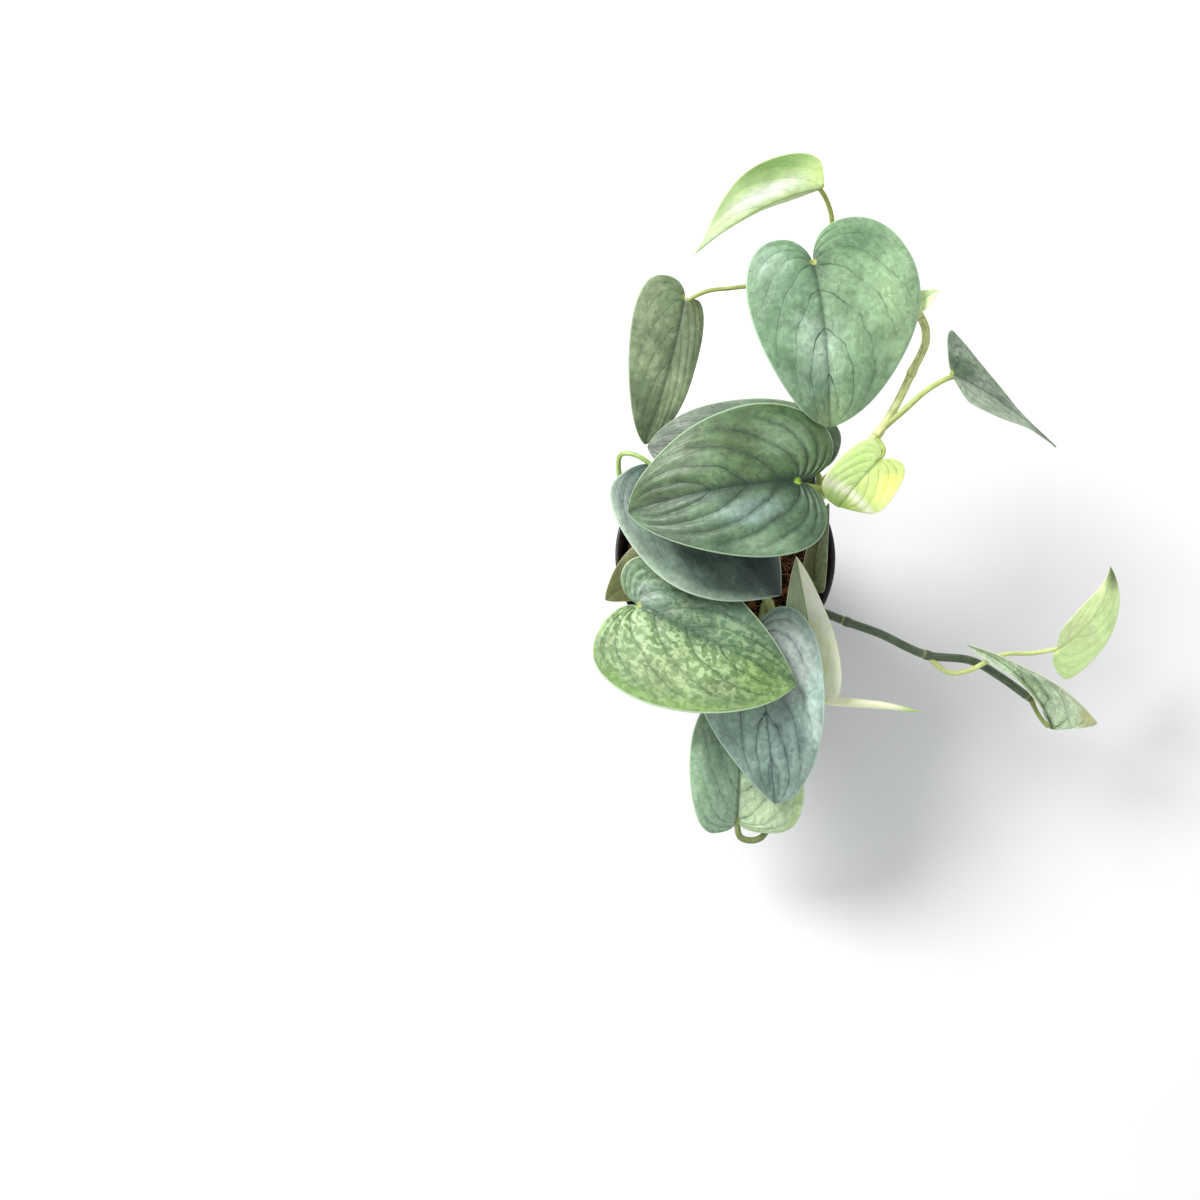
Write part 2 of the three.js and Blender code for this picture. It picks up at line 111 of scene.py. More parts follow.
# Relief of a blade. The quilting between the side veins starts at the first of its two distances from the
# midrib, in millimetres, and fades over two shares of the way out and two of the way to the tip. The margin's
# waves have a height, as a share of the larger half width, two rates and the strength of the second. The
# groove over the midrib is GROOVE deep in leaves with a half of BROAD_LEAF or more, and less in others.
# SEED_STEP keeps the waves of one leaf from matching the next one's.
QUILT_IN = (0.8, 5)
QUILT_OUT = (0.72, 0.98)
QUILT_TIP = (0.82, 1)
WAVE_HEIGHT = 0.022
WAVES = (9.5, 23)
WAVE_FINE = 0.45
WAVE_IN = (0.05, 0.25)
WAVE_TIP = (0.8, 1)
LIFT_OUT = (0.7, 1.05)
GROOVE = 0.45
GROOVE_REACH = 0.9
RIB_REACH = 1.1
BROAD_LEAF = 25
SEED_STEP = 1.7

# Leaf stalks: where they run out below the blade, as a share of its length, and how deep, in stalk radii,
# then how much wider the foot is, over which share, and how much narrower the rest, between which shares
STALK_UNDER = ((0.05, 0.7), (0.13, 0.75), (0.24, 0.5))
STALK_FOOT = 0.3
STALK_FOOT_END = 0.18
STALK_WAIST = 0.12
STALK_WAIST_FROM = (0.3, 0.6)
STALK_END = 0.8
STALK_POINTS = 60
STALK_SIDES = 14
STALK_OVAL = 0.92

# Patterns of the upper face. Most pairs are where a ramp starts and ends, and four values add what it goes
# from and to. MIDRIB goes from the right half to the left. A face has its fleck strength and how ragged its
# spots are. A grid says how fine a pattern is from vein to vein and on the way out, and APART keeps the
# patterns of the two halves from matching.
MIDRIB = (-0.5, 0.5)
SMOOTH_FACE = (0.05, 0.6)
MOTTLED_FACE = (0.14, 1.6)
CLOUDS = 0.06
BROAD_CLOUDS = 0.035
BROAD_TONE = (0.32, 0.68, 0.78, 1.16)
FLECKS = 0.55
PORES = 0.9
PORES_UNDER = 1.1
APART = 5
STREAK_GRID = (26, 5)
STREAK_STRENGTH = 0.14
VEIN_START = 0.12
VEIN_WANDER = 0.5
VEIN_LINE = (0.045, 0.008)
# VEIN_VALLEY_SHADE ramps the painted shade beside each side vein.
VEIN_VALLEY_SHADE = (0.3, 0)
VEINS_OUT = (0.97, 0.7)
VEINS_TIP = (1, 0.85)
VEINS_IN = (18, 2, 1, 1.9)
VEINS_BROKEN = (0.34, 0.62, 0.2, 1)
NET_GRID = (2.4, 9)
NET_LINE = (0.05, 0.005)
PATCH_GRID = (4.2, 13)
PATCH_LINE = (0.46, 0.56)
PATCH_BY_VEIN = (0.02, 0.1, 0.3, 1)
PATCH_OUT = (0.95, 0.55, 0.3, 1)
ZONE_LINE = (1.3, 0.15)
EDGE_EASE = 0.2
RIB_LINE = (0.5, 0.15)
RIM_LINE = (0.975, 0.992)
SPOT_LINE = (2.2, 0.9)
GLOW = 0.08
GLOW_DEPTH = 0.001
GLOW_COLOUR = (0.8, 1.0, 0.5)

# Colours, as a screen shows them, 0 to 255
UNDER_PALE = (168, 190, 150)
UNDER_VEIN = (196, 212, 170)
NODE_RING = (158, 156, 110)
STEM_COLOUR = (208, 216, 146)
RUNNER_COLOUR = (80, 95, 70)

# Camera and light
CAMERA_PLACE = (-59.6, -153.1, 836.9)
CAMERA_ELEVATION = 80
CAMERA_LENS = 48
SENSOR = 36
KEY_PLACE = (-0.95, 0.75, 1.25)
KEY_AIM = (0, 0, 0.05)
KEY_SIZE = 0.8
KEY_POWER = 33
KEY_COLOUR = (1.0, 0.99, 0.97)
SKY_COLOUR = (0.97, 0.985, 1.0, 1)
SKY_STRENGTH = 0.67
STAGE_REACH = 6.0


def row_maker(*columns):
    """Makes a table's rows: their values in the order of the columns, and what else they have by name."""
    return lambda *values, **more: {**dict(zip(columns, values)), **more}


# Each leaf. base is where the stalk meets the blade and tip where the blade ends, bow is that of the midrib,
# widths are the half widths and lobes the reach of the lobes as shares of the length. folds and curls turn
# each half up at the midrib and towards the margin, in degrees. stem carries the leaf, and stalk is the leaf
# stalk's path from there. Some leaves also have the place of their widest point, how blunt a half ends, how
# straight a wedge it is, a roll about the line from base to tip, a twist along the midrib and the stalk's
# radius. Left, the first of a pair, is the left hand of someone who stands on the base and looks to the tip.
leaf_row = row_maker("base", "tip", "bow", "widths", "lobes", "folds", "curls", "stem")
LEAVES = {
    "heart_top": leaf_row((33, 112, 178), (42, 45, 153), (1, 2, 7), (45, 32), (0.24, 0.18), (6, 8),
        (-22, -30), "stem_back", blunt=0.55, stalk=[(66, 102, 165), (52, 106, 170), (40, 110, 175)]),
    "lime_folded": leaf_row((37, 142, 188), (-19, 116, 176), (0, 5, 1), (8, 18), (-0.2, 0.01), (-96, 16),
        (-18, 25), "stem_back", widest=0.34, blunt=0.1, roll=7, twist=-10, radius=1.2,
        stalk=[(42, 108, 166), (43, 124, 168), (41, 136, 178)]),
    "bud_small": leaf_row((79, 97, 166), (89, 103, 169), (0, 0, 1), (4, 5), (0.1, 0.1), (20, 20), (0, 0),
        "stem_back", blunt=0.2, radius=1, stalk=[(81, 94, 162), (78, 96, 163), (77, 97, 165)]),
    "grey_left": leaf_row((-21, 108, 146), (-39, 46, 122), (2, 0, 5), (12, 22), (0, 0.12), (0, 15),
        (-30, -20), "stem_back", widest=(0.4, 0.2), blunt=(0.6, 0.5), radius=1.1,
        stalk=[(39, 107.5, 165), (20, 111, 156), (0, 111, 150), (-12, 110, 148)]),
    "dark_right": leaf_row((96, 69, 156), (147, 41, 135), (-1, 3, 2), (21, 10), (0.11, -0.2), (-12, -14),
        (20, 20), "stem_back", widest=(0.18, 0.4), blunt=0.05, wedge=(1, 0.3), roll=-12, twist=-38,
        stalk=[(64, 44, 149), (74, 52, 152), (86, 62, 155)]),
    "lime_centre": leaf_row((62, 28, 158), (47, 12, 140), (-2, -2, 8), (16, 14), (0.23, 0.18), (4, 22),
        (8, 0), "stem_back", widest=0.42, blunt=(0.25, 0.7), radius=1.2,
        stalk=[(63, 42, 148), (65, 37, 152), (65, 33, 155)]),
    "green_centre": leaf_row((27, 20, 155), (-47, 9, 143), (0, 1, 8), (33, 37), (0.14, 0.24), (12, 9),
        (-25, -25), "stem_middle", stalk=[(41.5, 19.8, 133.5), (43, 20, 138), (40, 19, 144), (33, 19, 150)]),
    "grey_under_centre": leaf_row((35, 28, 144), (-38, 42, 132), (0, 2, 5), (28, 29), (0.05, 0.12), (5, 5),
        (-20, -20), "stem_middle", stalk=[(38, 17.7, 129.5), (39, 23, 135), (38, 27, 140)]),
    "slate_middle": leaf_row((-34, 36, 120), (23, -24, 118), (0, 0, 6), (24, 36), (0.06, 0.1), (4, 8),
        (-20, -10), "stem_left", widest=0.42, blunt=(0.35, 0.4),
        stalk=[(-27, 0, 95), (-38, 14, 99), (-50, 32, 110), (-50, 42, 118), (-43, 41, 121)]),
    "olive_small": leaf_row((-28, -5, 104), (-57, -22, 94), (0, 0, 4), (12, 14), (0.1, 0.1), (10, 10),
        (-20, -20), "stem_left", blunt=0.4, radius=1.1,
        stalk=[(-28, -1, 96), (-27, -3, 99), (-26, -4, 102)]),
    "variegated": leaf_row((-42, -28, 113), (30, -64, 113), (0, -1, 6), (28, 39), (0.18, 0.13), (8, 8),
        (-20, -22), "stem_left", blunt=(0.3, 0.5),
        stalk=[(-30, -4, 97), (-32, -16, 95), (-37, -27, 99), (-42, -31, 106)]),
    "silver_front": leaf_row((13, -43, 104), (22, -117, 84), (0, 0, 6), (28, 32), (0.18, 0.15), (6, 6),
        (-12, -20), "stem_front", blunt=(0.7, 0.3), roll=12,
        stalk=[(18, -24, 91), (16, -32, 95), (14, -39, 100)]),
    "pale_upright": leaf_row((42, -64, 90), (31, -5, 113), (2, -1, -6), (15, 13), (0.1, 0.1), (4, 25),
        (10, 10), "stem_front", blunt=0.35, radius=1.1,
        stalk=[(32, -55, 94.5), (38, -64, 91), (43, -68, 89)]),
    "mint_hanging": leaf_row((6, -124, 66), (7, -64, 84), (0, 0, 6), (24, 31), (0.1, 0.1), (12, 12),
        (-25, -25), "stem_front", widest=(0.42, 0.2), blunt=(0.75, 0.5), radius=1.8,
        stalk=[(34, -66, 86), (28, -100, 68), (18, -132, 58), (8, -132, 60)]),
    "narrow_rim": leaf_row((41, -15, 98), (46, 19, 118), (-2, 0, 0), (7, 7), (0.1, 0.1), (35, 35),
        (10, 10), "stem_runner", blunt=0.4, radius=1, stalk=[(32, -20, 88), (36, -19, 92), (40, -18, 96)]),
    "runner_folded": leaf_row((158, -81, 70), (114, -42, 86), (4, 4, 4), (5, 21), (-0.18, 0.1), (55, 30),
        (40, 8), "stem_runner", widest=(0.5, -0.1), blunt=(0.45, 0.2), wedge=(0, 1), twist=-55, radius=1.1,
        stalk=[(148, -66, 69), (152, -73, 66), (156, -79, 67)]),
    "runner_young": leaf_row((159, -44, 77), (183, -5, 90), (6, -2, 2), (8, 15), (-0.1, 0.11), (6, 3),
        (0, -8), "stem_runner", widest=(0.4, 0.02), blunt=(0.1, 0.35), wedge=0.2, radius=1.2,
        stalk=[(95, -47.5, 86.5), (106, -55, 82), (116, -54, 82), (124, -50, 82.5), (134, -46, 81),
        (148, -45, 77)]),
}

# The rolled new leaf: its path, the sideways direction that its seam is counted from, its radius, and the
# shares of that at shares of its length. The seam goes round it by SEAM_TURNS from SEAM_START, and is a step
# of SEAM_STEP of the radius.
SPEAR_PATH = [(37, -68, 86), (52, -69, 84), (75, -71, 84), (92, -74, 83)]
SPEAR_SIDE = np.array([0.0, 1.0, 0.0])
SPEAR_RADIUS = 2.3
SPEAR_SHAPE = ((0, 0.15, 0.4, 0.65, 0.85, 1), (0.75, 0.87, 1, 0.88, 0.55, 0.05))
SPEAR_POINT = 0.5
SPEAR_POINTS = 90
SPEAR_SIDES = 28
SEAM_TURNS = 0.8
SEAM_START = 0.35
SEAM_STEP = 0.16

# Each stem, from the potting mix to its end. A stem starts at the first of two depths below SOIL_TOP and goes
# straight up to the second. bare_nodes are those without a leaf. Each node has a swelling and, just before
# it, a ring.
STEM_SUNK = (14, 4)
STEM_SIDES = 20
NODE_SWELL = 0.2
NODE_SWELL_MOST = 0.22
NODE_REACH = 2.2
RING_BEFORE = 2.0
RING_REACH = 0.5
RING_DEPTH = 0.25
STEMS = {
    "stem_back": dict(radius=2, foot=(24, 14), bare_nodes=[(34, 22, 112), (79, 70, 154)], path=[
        (26, 16, 92), (34, 22, 112), (48, 31, 134), (62, 41, 148), (71, 54, 151), (79, 70, 154),
        (85, 84, 158), (82, 93, 162), (70, 100, 164), (54, 105, 165), (38, 108, 165)]),
    "stem_middle": dict(radius=2.4, foot=(12, 4), path=[
        (14, 5, 92), (22, 9, 108), (33, 15, 124), (42, 20, 134)]),
    "stem_left": dict(radius=2.4, foot=(-22, 4), path=[(-23, 3, 90), (-27, 0, 95), (-30, -4, 97)]),
    "stem_front": dict(radius=2.4, foot=(18, -14), path=[
        (19, -20, 89), (24, -34, 94), (30, -50, 96), (34, -60, 93), (37, -68, 88)]),
    "stem_runner": dict(radius=2.1, foot=(30, -20), bare_nodes=[(56, -33, 97)], path=[
        (32, -22, 90), (42, -27, 96), (56, -33, 97), (72, -38, 93), (94, -47, 87), (118, -49, 79),
        (133, -56, 73), (148, -66, 69)]),
}

# What each leaf looks like, with colours as a screen shows them, 0 to 255. The face wavers between body and
# shade, vein, rim and stalk are the colours of those parts, and spot is where the stalk meets the blade. band
# is the dark zone along the midrib: its half width at the base and at the tip in millimetres, its feathering
# and its strength. lines, valley_shade and net are the strength of the side veins, of the painted shade
# beside them and of the net between them, clouds and patches that of soft and of sharp mottling, and quilt
# the height of the swelling between the side veins, in millimetres. tone, tints and the strengths in patches
# are for the left and the right half. smooth is an even young leaf, glow how much light goes through it, and
# veins the number of side veins in a half. edge colours the margin of one half, 0 for the left: from which
# share of the way out, its colour and strength. lift raises the margin of one half: by how many millimetres,
# and from which share of the outline to which. Each of zones is a soft spot: its place along the leaf as a
# share, its distance from the midrib in millimetres, positive on the left, its two reaches in millimetres,
# its colour and strength. Zones are the leaf's own colour, except those noted below as painted highlight and
# sheen.
look_row = row_maker(
    "slot", "body", "shade", "vein", "rim", "stalk", "band", "lines", "valley_shade", "net", "clouds", "quilt")
LOOKS = {
    "heart_top": look_row("leaf_silver", (148, 181, 144), (98, 134, 96), (56, 84, 62), (176, 206, 172),
        (158, 170, 84), (1.4, 0.5, 1.6, 0.5), 0.5, 0.14, 0.16, 0.75, 0.5, tone=(1.05, 0.88),
        tints=((162, 192, 146, 0.3), (122, 158, 124, 0.3)), zones=((0, 0, 11, 9, (74, 104, 76), 0.75),
        # The zone that opens the next line, pale silver near the middle of the midrib, is a painted sheen.
        (0.55, -4, 22, 13, (188, 212, 190), 0.6), (-0.08, 20, 13, 16, (96, 132, 96), 0.75),
        (-0.05, -17, 10, 10, (170, 196, 174), 0.5), (0.12, -14, 9, 14, (108, 142, 112), 0.6),
        (0.75, 14, 14, 12, (128, 164, 126), 0.5), (0.4, 32, 26, 10, (176, 208, 158), 0.6),
        (0.95, 0, 12, 10, (176, 204, 148), 0.55), (0.3, -26, 16, 7, (112, 146, 112), 0.4))),
    "lime_folded": look_row("leaf_lime", (206, 228, 168), (166, 200, 128), (134, 172, 104),
        (232, 246, 200), (158, 172, 86), (0.5, 0.3, 0.5, 0.25), 0.18, 0.06, 0.06, 0.45, 0.2, tone=(1, 0.9),
        smooth=True, glow=0.2, tints=((214, 236, 160, 0.6), None),
        # The second zone, the near-white band beside the midrib, is a painted highlight.
        zones=((0.25, -16, 28, 7, (142, 182, 100), 0.9), (0.42, -5, 22, 4, (250, 255, 240), 0.95),
        (0.85, -3, 15, 6, (226, 244, 196), 0.7), (0.02, -6, 8, 8, (204, 222, 140), 0.6))),
    "bud_small": look_row("leaf_lime", (224, 245, 192), (204, 234, 164), (150, 194, 110), (232, 248, 200),
        (178, 196, 106), (0.3, 0.2, 0.2, 0.3), 0.12, 0.05, 0, 0.4, 0.05, tone=(1.15, 1.15), smooth=True,
        glow=0.5),
    "grey_left": look_row("leaf_dark", (132, 150, 114), (94, 114, 82), (58, 76, 56), (168, 186, 152),
        (150, 162, 84), (1.2, 0.6, 1.6, 0.5), 0.28, 0.14, 0.2, 0.8, 0.3,
        tints=((134, 150, 112, 0.4), None),
        zones=((0, 4, 10, 8, (96, 106, 68), 0.6), (0.5, 7, 22, 5, (168, 188, 150), 0.5))),
    "dark_right": look_row("leaf_dark", (166, 186, 160), (130, 150, 126), (50, 68, 54), (176, 190, 164),
        (182, 198, 116), (0.6, 0.3, 1, 0.4), 0.25, 0.12, 0.25, 0.7, 0.3, tone=(1.12, 0.85),
        tints=((112, 128, 104, 0.5), (176, 194, 168, 0.75)), patches=(0.5, 0.1, (166, 188, 164)),
        zones=((0.08, 5, 12, 7, (68, 98, 64), 0.8), (0.5, 2, 14, 3, (84, 102, 82), 0.6),
        (0.5, 13, 22, 3, (158, 172, 138), 0.7), (0.92, 0, 9, 5, (120, 122, 96), 0.6))),
    "lime_centre": look_row("leaf_lime", (212, 238, 154), (184, 218, 122), (110, 154, 76), (238, 250, 196),
        (172, 192, 104), (0.5, 0.2, 0.6, 0.5), 0.3, 0.08, 0.05, 0.5, 0.3, tone=(0.95, 1.05), smooth=True,
        glow=0.2, tints=((224, 242, 146, 0.6), (222, 246, 170, 0.5)),
        # The first zone, the near-white band right across the leaf, is a painted highlight on its fold.
        zones=((0.66, 0, 3.5, 40, (248, 255, 216), 1), (0.2, 11, 9, 6, (244, 252, 136), 0.9),
        (0.2, -7, 8, 5, (186, 222, 132), 0.7), (0.92, 0, 4, 20, (186, 222, 120), 0.8))),
    "green_centre": look_row("leaf_green", (96, 126, 86), (56, 84, 49), (34, 58, 42), (164, 192, 156),
        (160, 178, 84), (2.4, 0.7, 2.4, 0.65), 0.5, 0.42, 0.22, 0.8, 1, tone=(0.94, 0.88), veins=7.5,
        tints=((104, 130, 110, 0.3), (98, 122, 82, 0.35)), spot=(146, 184, 60),
        # The second zone, bluish pale in the left half, is a painted highlight.
        zones=((0.02, 0, 12, 8, (36, 64, 42), 0.8), (0.3, 12, 17, 7, (152, 178, 168), 0.75),
        (0.5, 2, 16, 4, (50, 76, 62), 0.6), (0.08, -20, 15, 10, (146, 172, 140), 0.6),
        (0.3, -20, 14, 8, (84, 104, 68), 0.5), (0.62, -14, 16, 7, (142, 166, 132), 0.5),
        (0.25, 28, 22, 6, (150, 178, 146), 0.6), (0.85, 2, 12, 8, (92, 116, 84), 0.5))),
    "grey_under_centre": look_row("leaf_slate", (116, 132, 112), (92, 110, 94), (44, 60, 50),
        (160, 178, 150), (150, 168, 84), (1.6, 0.8, 2, 0.5), 0.35, 0.2, 0.2, 0.6, 0.4),
    "slate_middle": look_row("leaf_slate", (98, 120, 107), (65, 87, 79), (30, 46, 48), (180, 202, 180),
        (166, 196, 116), (0.8, 4, 5, 0.75), 0.3, 0.16, 0.12, 0.75, 0.4, tone=(0.85, 0.9),
        tints=((104, 128, 130, 0.5), None), edge=(1, 0.8, (166, 188, 164), 0.7), lift=(1, 3, 0.35, 0.95),
        zones=((0.74, 5, 16, 6, (34, 48, 50), 0.85), (0.45, -12, 22, 9, (84, 106, 98), 0.5),
        (0.4, -26, 24, 6, (150, 174, 154), 0.6))),
    "olive_small": look_row("leaf_olive", (110, 116, 62), (78, 84, 40), (78, 82, 44), (160, 158, 96),
        (146, 152, 80), (0.6, 0.4, 0.8, 0.4), 0.22, 0.12, 0.1, 0.7, 0.2),
    "variegated": look_row("leaf_variegated", (130, 158, 114), (90, 124, 80), (52, 84, 60),
        (206, 226, 192), (170, 182, 118), (1.6, 0.6, 2.6, 0.45), 0.4, 0.22, 0.3, 0.7, 0.9,
        tone=(0.97, 0.88), veins=7.5, tints=((94, 126, 96, 0.6), (132, 166, 98, 0.5)),
        edge=(1, 0.8, (148, 188, 98), 0.55), patches=(0.3, 0.6, (192, 214, 164)),
        zones=((0.02, 6, 12, 9, (156, 180, 162), 0.65), (0.3, 0, 24, 7, (84, 112, 86), 0.55),
        (0.12, 15, 12, 9, (88, 120, 88), 0.55), (0.45, 16, 22, 8, (118, 148, 126), 0.5),
        (0.8, -5, 16, 12, (142, 184, 94), 0.6), (0.35, -22, 24, 12, (184, 206, 152), 0.35))),
    "silver_front": look_row("leaf_silver", (138, 164, 150), (102, 128, 116), (44, 64, 64),
        (184, 206, 190), (170, 186, 110), (0.5, 0.4, 0.8, 0.5), 0.45, 0.25, 0.2, 0.75, 0.8,
        tints=((158, 182, 172, 0.4), (160, 188, 174, 0.5)), patches=(0.15, 0.15, (170, 194, 180)),
        # The first zone, silver-white near the base of the left half, is a painted sheen.
        lift=(0, 5, 0.45, 0.8), zones=((0.12, 12, 20, 14, (204, 214, 210), 0.8),
        (0.6, 8, 14, 6, (104, 128, 124), 0.6), (0.45, -12, 22, 8, (120, 148, 126), 0.5),
        (0.75, 16, 14, 6, (174, 196, 182), 0.6), (0.9, -3, 12, 8, (96, 124, 110), 0.5),
        (0.64, 15, 9, 3, (88, 112, 108), 0.7), (0.52, 22, 12, 4, (196, 214, 202), 0.7))),
    "pale_upright": look_row("leaf_pale", (208, 222, 180), (172, 192, 150), (122, 146, 108),
        (240, 246, 206), (226, 238, 170), (0.4, 0.3, 0.5, 0.3), 0.18, 0.08, 0.08, 0.6, 0.15,
        # Right half: pale by its own colour, with painted light in its raised tone and near-white tint.
        tone=(0.82, 1.3), smooth=True, glow=0.6, tints=((152, 174, 136, 0.6), (246, 252, 210, 1))),
    "mint_hanging": look_row("leaf_mint", (158, 188, 154), (118, 150, 118), (60, 92, 66), (206, 228, 192),
        (126, 140, 84), (0.8, 0.4, 1, 0.6), 0.35, 0.18, 0.18, 0.7, 0.5, tone=(1.05, 0.95), glow=0.15,
        tints=((150, 180, 150, 0.5), (204, 228, 184, 0.7)), edge=(1, 0.72, (204, 234, 160), 0.7),
        zones=((0.5, 12, 20, 6, (106, 136, 108), 0.5), (0.4, 20, 26, 3, (164, 192, 156), 0.6),
        (0.08, -14, 9, 12, (214, 236, 190), 0.6))),
    "narrow_rim": look_row("leaf_dark", (140, 140, 92), (100, 106, 62), (56, 66, 42), (164, 176, 136),
        (150, 166, 94), (0.4, 0.3, 0.4, 0.4), 0.18, 0.1, 0.08, 0.7, 0.12,
        tints=((84, 94, 52, 0.6), (146, 162, 130, 0.6))),
    "runner_folded": look_row("leaf_dark", (214, 232, 200), (168, 194, 152), (66, 92, 62), (226, 236, 200),
        (136, 152, 84), (0.5, 0.3, 0.8, 0.6), 0.4, 0.2, 0.3, 0.8, 0.4, tints=((220, 238, 208, 0.6), None),
        edge=(1, 0.78, (164, 160, 118), 0.6),
        zones=((0, -18, 6, 7, (206, 204, 138), 0.8), (0.35, -5, 14, 2, (92, 116, 84), 0.6))),
    "runner_young": look_row("leaf_pale", (206, 226, 166), (184, 210, 140), (148, 180, 112),
        (220, 236, 178), (216, 230, 148), (0.25, 0.15, 0.2, 0.35), 0.22, 0.08, 0.08, 0.6, 0.15,
        tone=(1.06, 0.92), smooth=True, glow=0.2, tints=((224, 240, 176, 0.5), (190, 214, 156, 0.4)),
        zones=((0.97, -2, 12, 5, (80, 92, 56), 1),)),
}


def linear(rgb):
    """A colour as a screen shows it, 0 to 255, as the light values that a shader takes."""
    return tuple(((c / 255 + 0.055) / 1.055) ** 2.4 if c > 10 else c / 3294.6 for c in rgb)


class Wire:
    """A value inside a material, which can be reckoned with as a number can."""

    def __init__(self, shader, socket):
        self.shader, self.socket = shader, socket

    def __rsub__(self, other):
        return self.shader.math("SUBTRACT", other, self)

    def __abs__(self):
        return self.shader.math("ABSOLUTE", self)


for sign, node_name in (("add", "ADD"), ("sub", "SUBTRACT"), ("mul", "MULTIPLY"), ("truediv", "DIVIDE")):
    setattr(Wire, f"__{sign}__", lambda a, b, node_name=node_name: a.shader.math(node_name, a, b))


class Shader:
    """A node material around one Principled shader, written as nested calls."""

    def __init__(self, name, roughness=0.5, specular=0.5):
        self.material = bpy.data.materials.new(name)
        self.material.use_nodes = True
        self.tree = self.material.node_tree
        self.surface = self.tree.nodes["Principled BSDF"]
        self.surface.inputs["Roughness"].default_value = roughness
        self.surface.inputs["Specular IOR Level"].default_value = specular

    def feed(self, socket, value):
        """Joins a wire to the socket, or sets it to a number, a vector or a colour as a screen shows it."""
        if isinstance(value, Wire):
            self.tree.links.new(value.socket, socket)
        elif socket.type == "RGBA":
            socket.default_value = (*linear(value), 1)
        else:
            socket.default_value = value

    def node(self, kind, values, output=0, **settings):
        """A new node of the kind, as the wire from one of its outputs."""
        made = self.tree.nodes.new("ShaderNode" + kind)
        for key, setting in settings.items():
            setattr(made, key, setting)
        for socket, value in values.items():
            self.feed(made.inputs[socket], value)
        return Wire(self, made.outputs[output])

    def math(self, operation, a, b=0.0):
        return self.node("Math", {0: a, 1: b}, operation=operation)

    def far(self, x, y):
        """How far the point x, y lies from 0, 0."""
        return self.math("SQRT", x * x + y * y)

    def ramp(self, value, low, high, start=0.0, end=1.0):
        """Goes smoothly from start, at low, to end, at high."""
        values = {"Value": value, "From Min": low, "From Max": high, "To Min": start, "To Max": end}
        return self.node("MapRange", values, interpolation_type="SMOOTHSTEP")

    def mix(self, share, a, b, kind="MIX"):
        return self.node("Mix", {0: share, 6: a, 7: b}, 2, data_type="RGBA", blend_type=kind)

    def noise(self, place, scale, detail=3.0, rough=0.5, distortion=0.0):
        return self.node("TexNoise", {"Vector": place, "Scale": scale, "Detail": detail, "Roughness": rough,
                                      "Distortion": distortion})

    def cells(self, place, scale, output="Distance", feature="F1"):
        return self.node("TexVoronoi", {"Vector": place, "Scale": scale}, output, feature=feature)

    def attribute(self, name):
        return self.node("Attribute", {}, "Vector", attribute_name=name)

    def split(self, vector):
        parts = self.node("SeparateXYZ", {0: vector}).socket.node
        return [Wire(self, socket) for socket in parts.outputs]

    def join(self, x, y, z):
        return self.node("CombineXYZ", {0: x, 1: y, 2: z})

    def object_place(self):
        return self.node("TexCoord", {}, "Object")

    def finish(self, colour, height=None, distance=0.0003, strength=0.5, roughness=None):
        """The material in this colour, with a bump where a height is given."""
        self.feed(self.surface.inputs["Base Color"], colour)
        if roughness is not None:
            self.feed(self.surface.inputs["Roughness"], roughness)
        if height is not None:
            bump = self.node("Bump", {"Height": height, "Distance": distance, "Strength": strength})
            self.feed(self.surface.inputs["Normal"], bump)
        return self.material


def link(name, data):
    """A new object of the scene that holds the data."""
    made = bpy.data.objects.new(name, data)
    bpy.context.scene.collection.objects.link(made)
    return made


class Builder:
    """Collects grids of points and makes one mesh object of them, with two attributes at its corners."""

    def __init__(self):
        self.points, self.faces, self.slots, self.place, self.flat = [], [], [], [], []
        self.count = 0

    def add(self, points, faces, slot=0, place=(0, 0, 0), flat=(0, 0, 0)):
        points = np.asarray(points, float).reshape(-1, 3)
        self.points.append(points)
        self.faces.append(np.asarray(faces, int) + self.count)
        self.slots.append(np.full(len(faces), slot))
        for store, values in ((self.place, place), (self.flat, flat)):
            store.append(np.broadcast_to(np.asarray(values, float).reshape(-1, 3), points.shape))
        self.count += len(points)

    def object(self, name, materials=()):
        """The mesh, with points that lie together made one and faces that are nothing left out."""
        points = np.concatenate(self.points)
        keys = np.round(points / WELD).astype(np.int64)
        _keys, first, merged = np.unique(keys, axis=0, return_index=True, return_inverse=True)
        merged = merged.ravel()
        kept, corners, slots = [], [], []
        for face, slot in zip(np.concatenate(self.faces).tolist(), np.concatenate(self.slots).tolist()):
            ids = [int(merged[v]) for v in face]
            ring = [k for k in range(len(ids)) if ids[k] != ids[k - 1]]
            if len(ring) < 3 or len({ids[k] for k in ring}) < len(ring):
                continue
            kept.append([ids[k] for k in ring])
            corners.extend(face[k] for k in ring)
            slots.append(slot)
        mesh = bpy.data.meshes.new(name)
        mesh.from_pydata((points[first] * MM).tolist(), [], kept)
        for key, values in (("place", self.place), ("flat", self.flat)):
            layer = mesh.attributes.new(key, "FLOAT_VECTOR", "CORNER")
            layer.data.foreach_set("vector", np.concatenate(values)[corners].astype(np.float32).ravel())
        mesh.polygons.foreach_set("material_index", slots)
        mesh.polygons.foreach_set("use_smooth", [True] * len(kept))
        for material in materials:
            mesh.materials.append(material)
        mesh.update()
        return link(name, mesh)


def unit(v):
    return v / np.maximum(np.linalg.norm(v, axis=-1, keepdims=True), TINY)


def dot(a, b):
    return np.sum(a * b, axis=-1, keepdims=True)


def step(value, low, high):
    """0 below low, 1 above high and smooth between them."""
    t = np.clip((value - low) / (high - low), 0, 1)
    return t * t * (3 - 2 * t)


def arc(t, start, middle, end):
    """The curve from start to end that leans to middle."""
    return (1 - t) ** 2 * start + 2 * t * (1 - t) * middle + t ** 2 * end


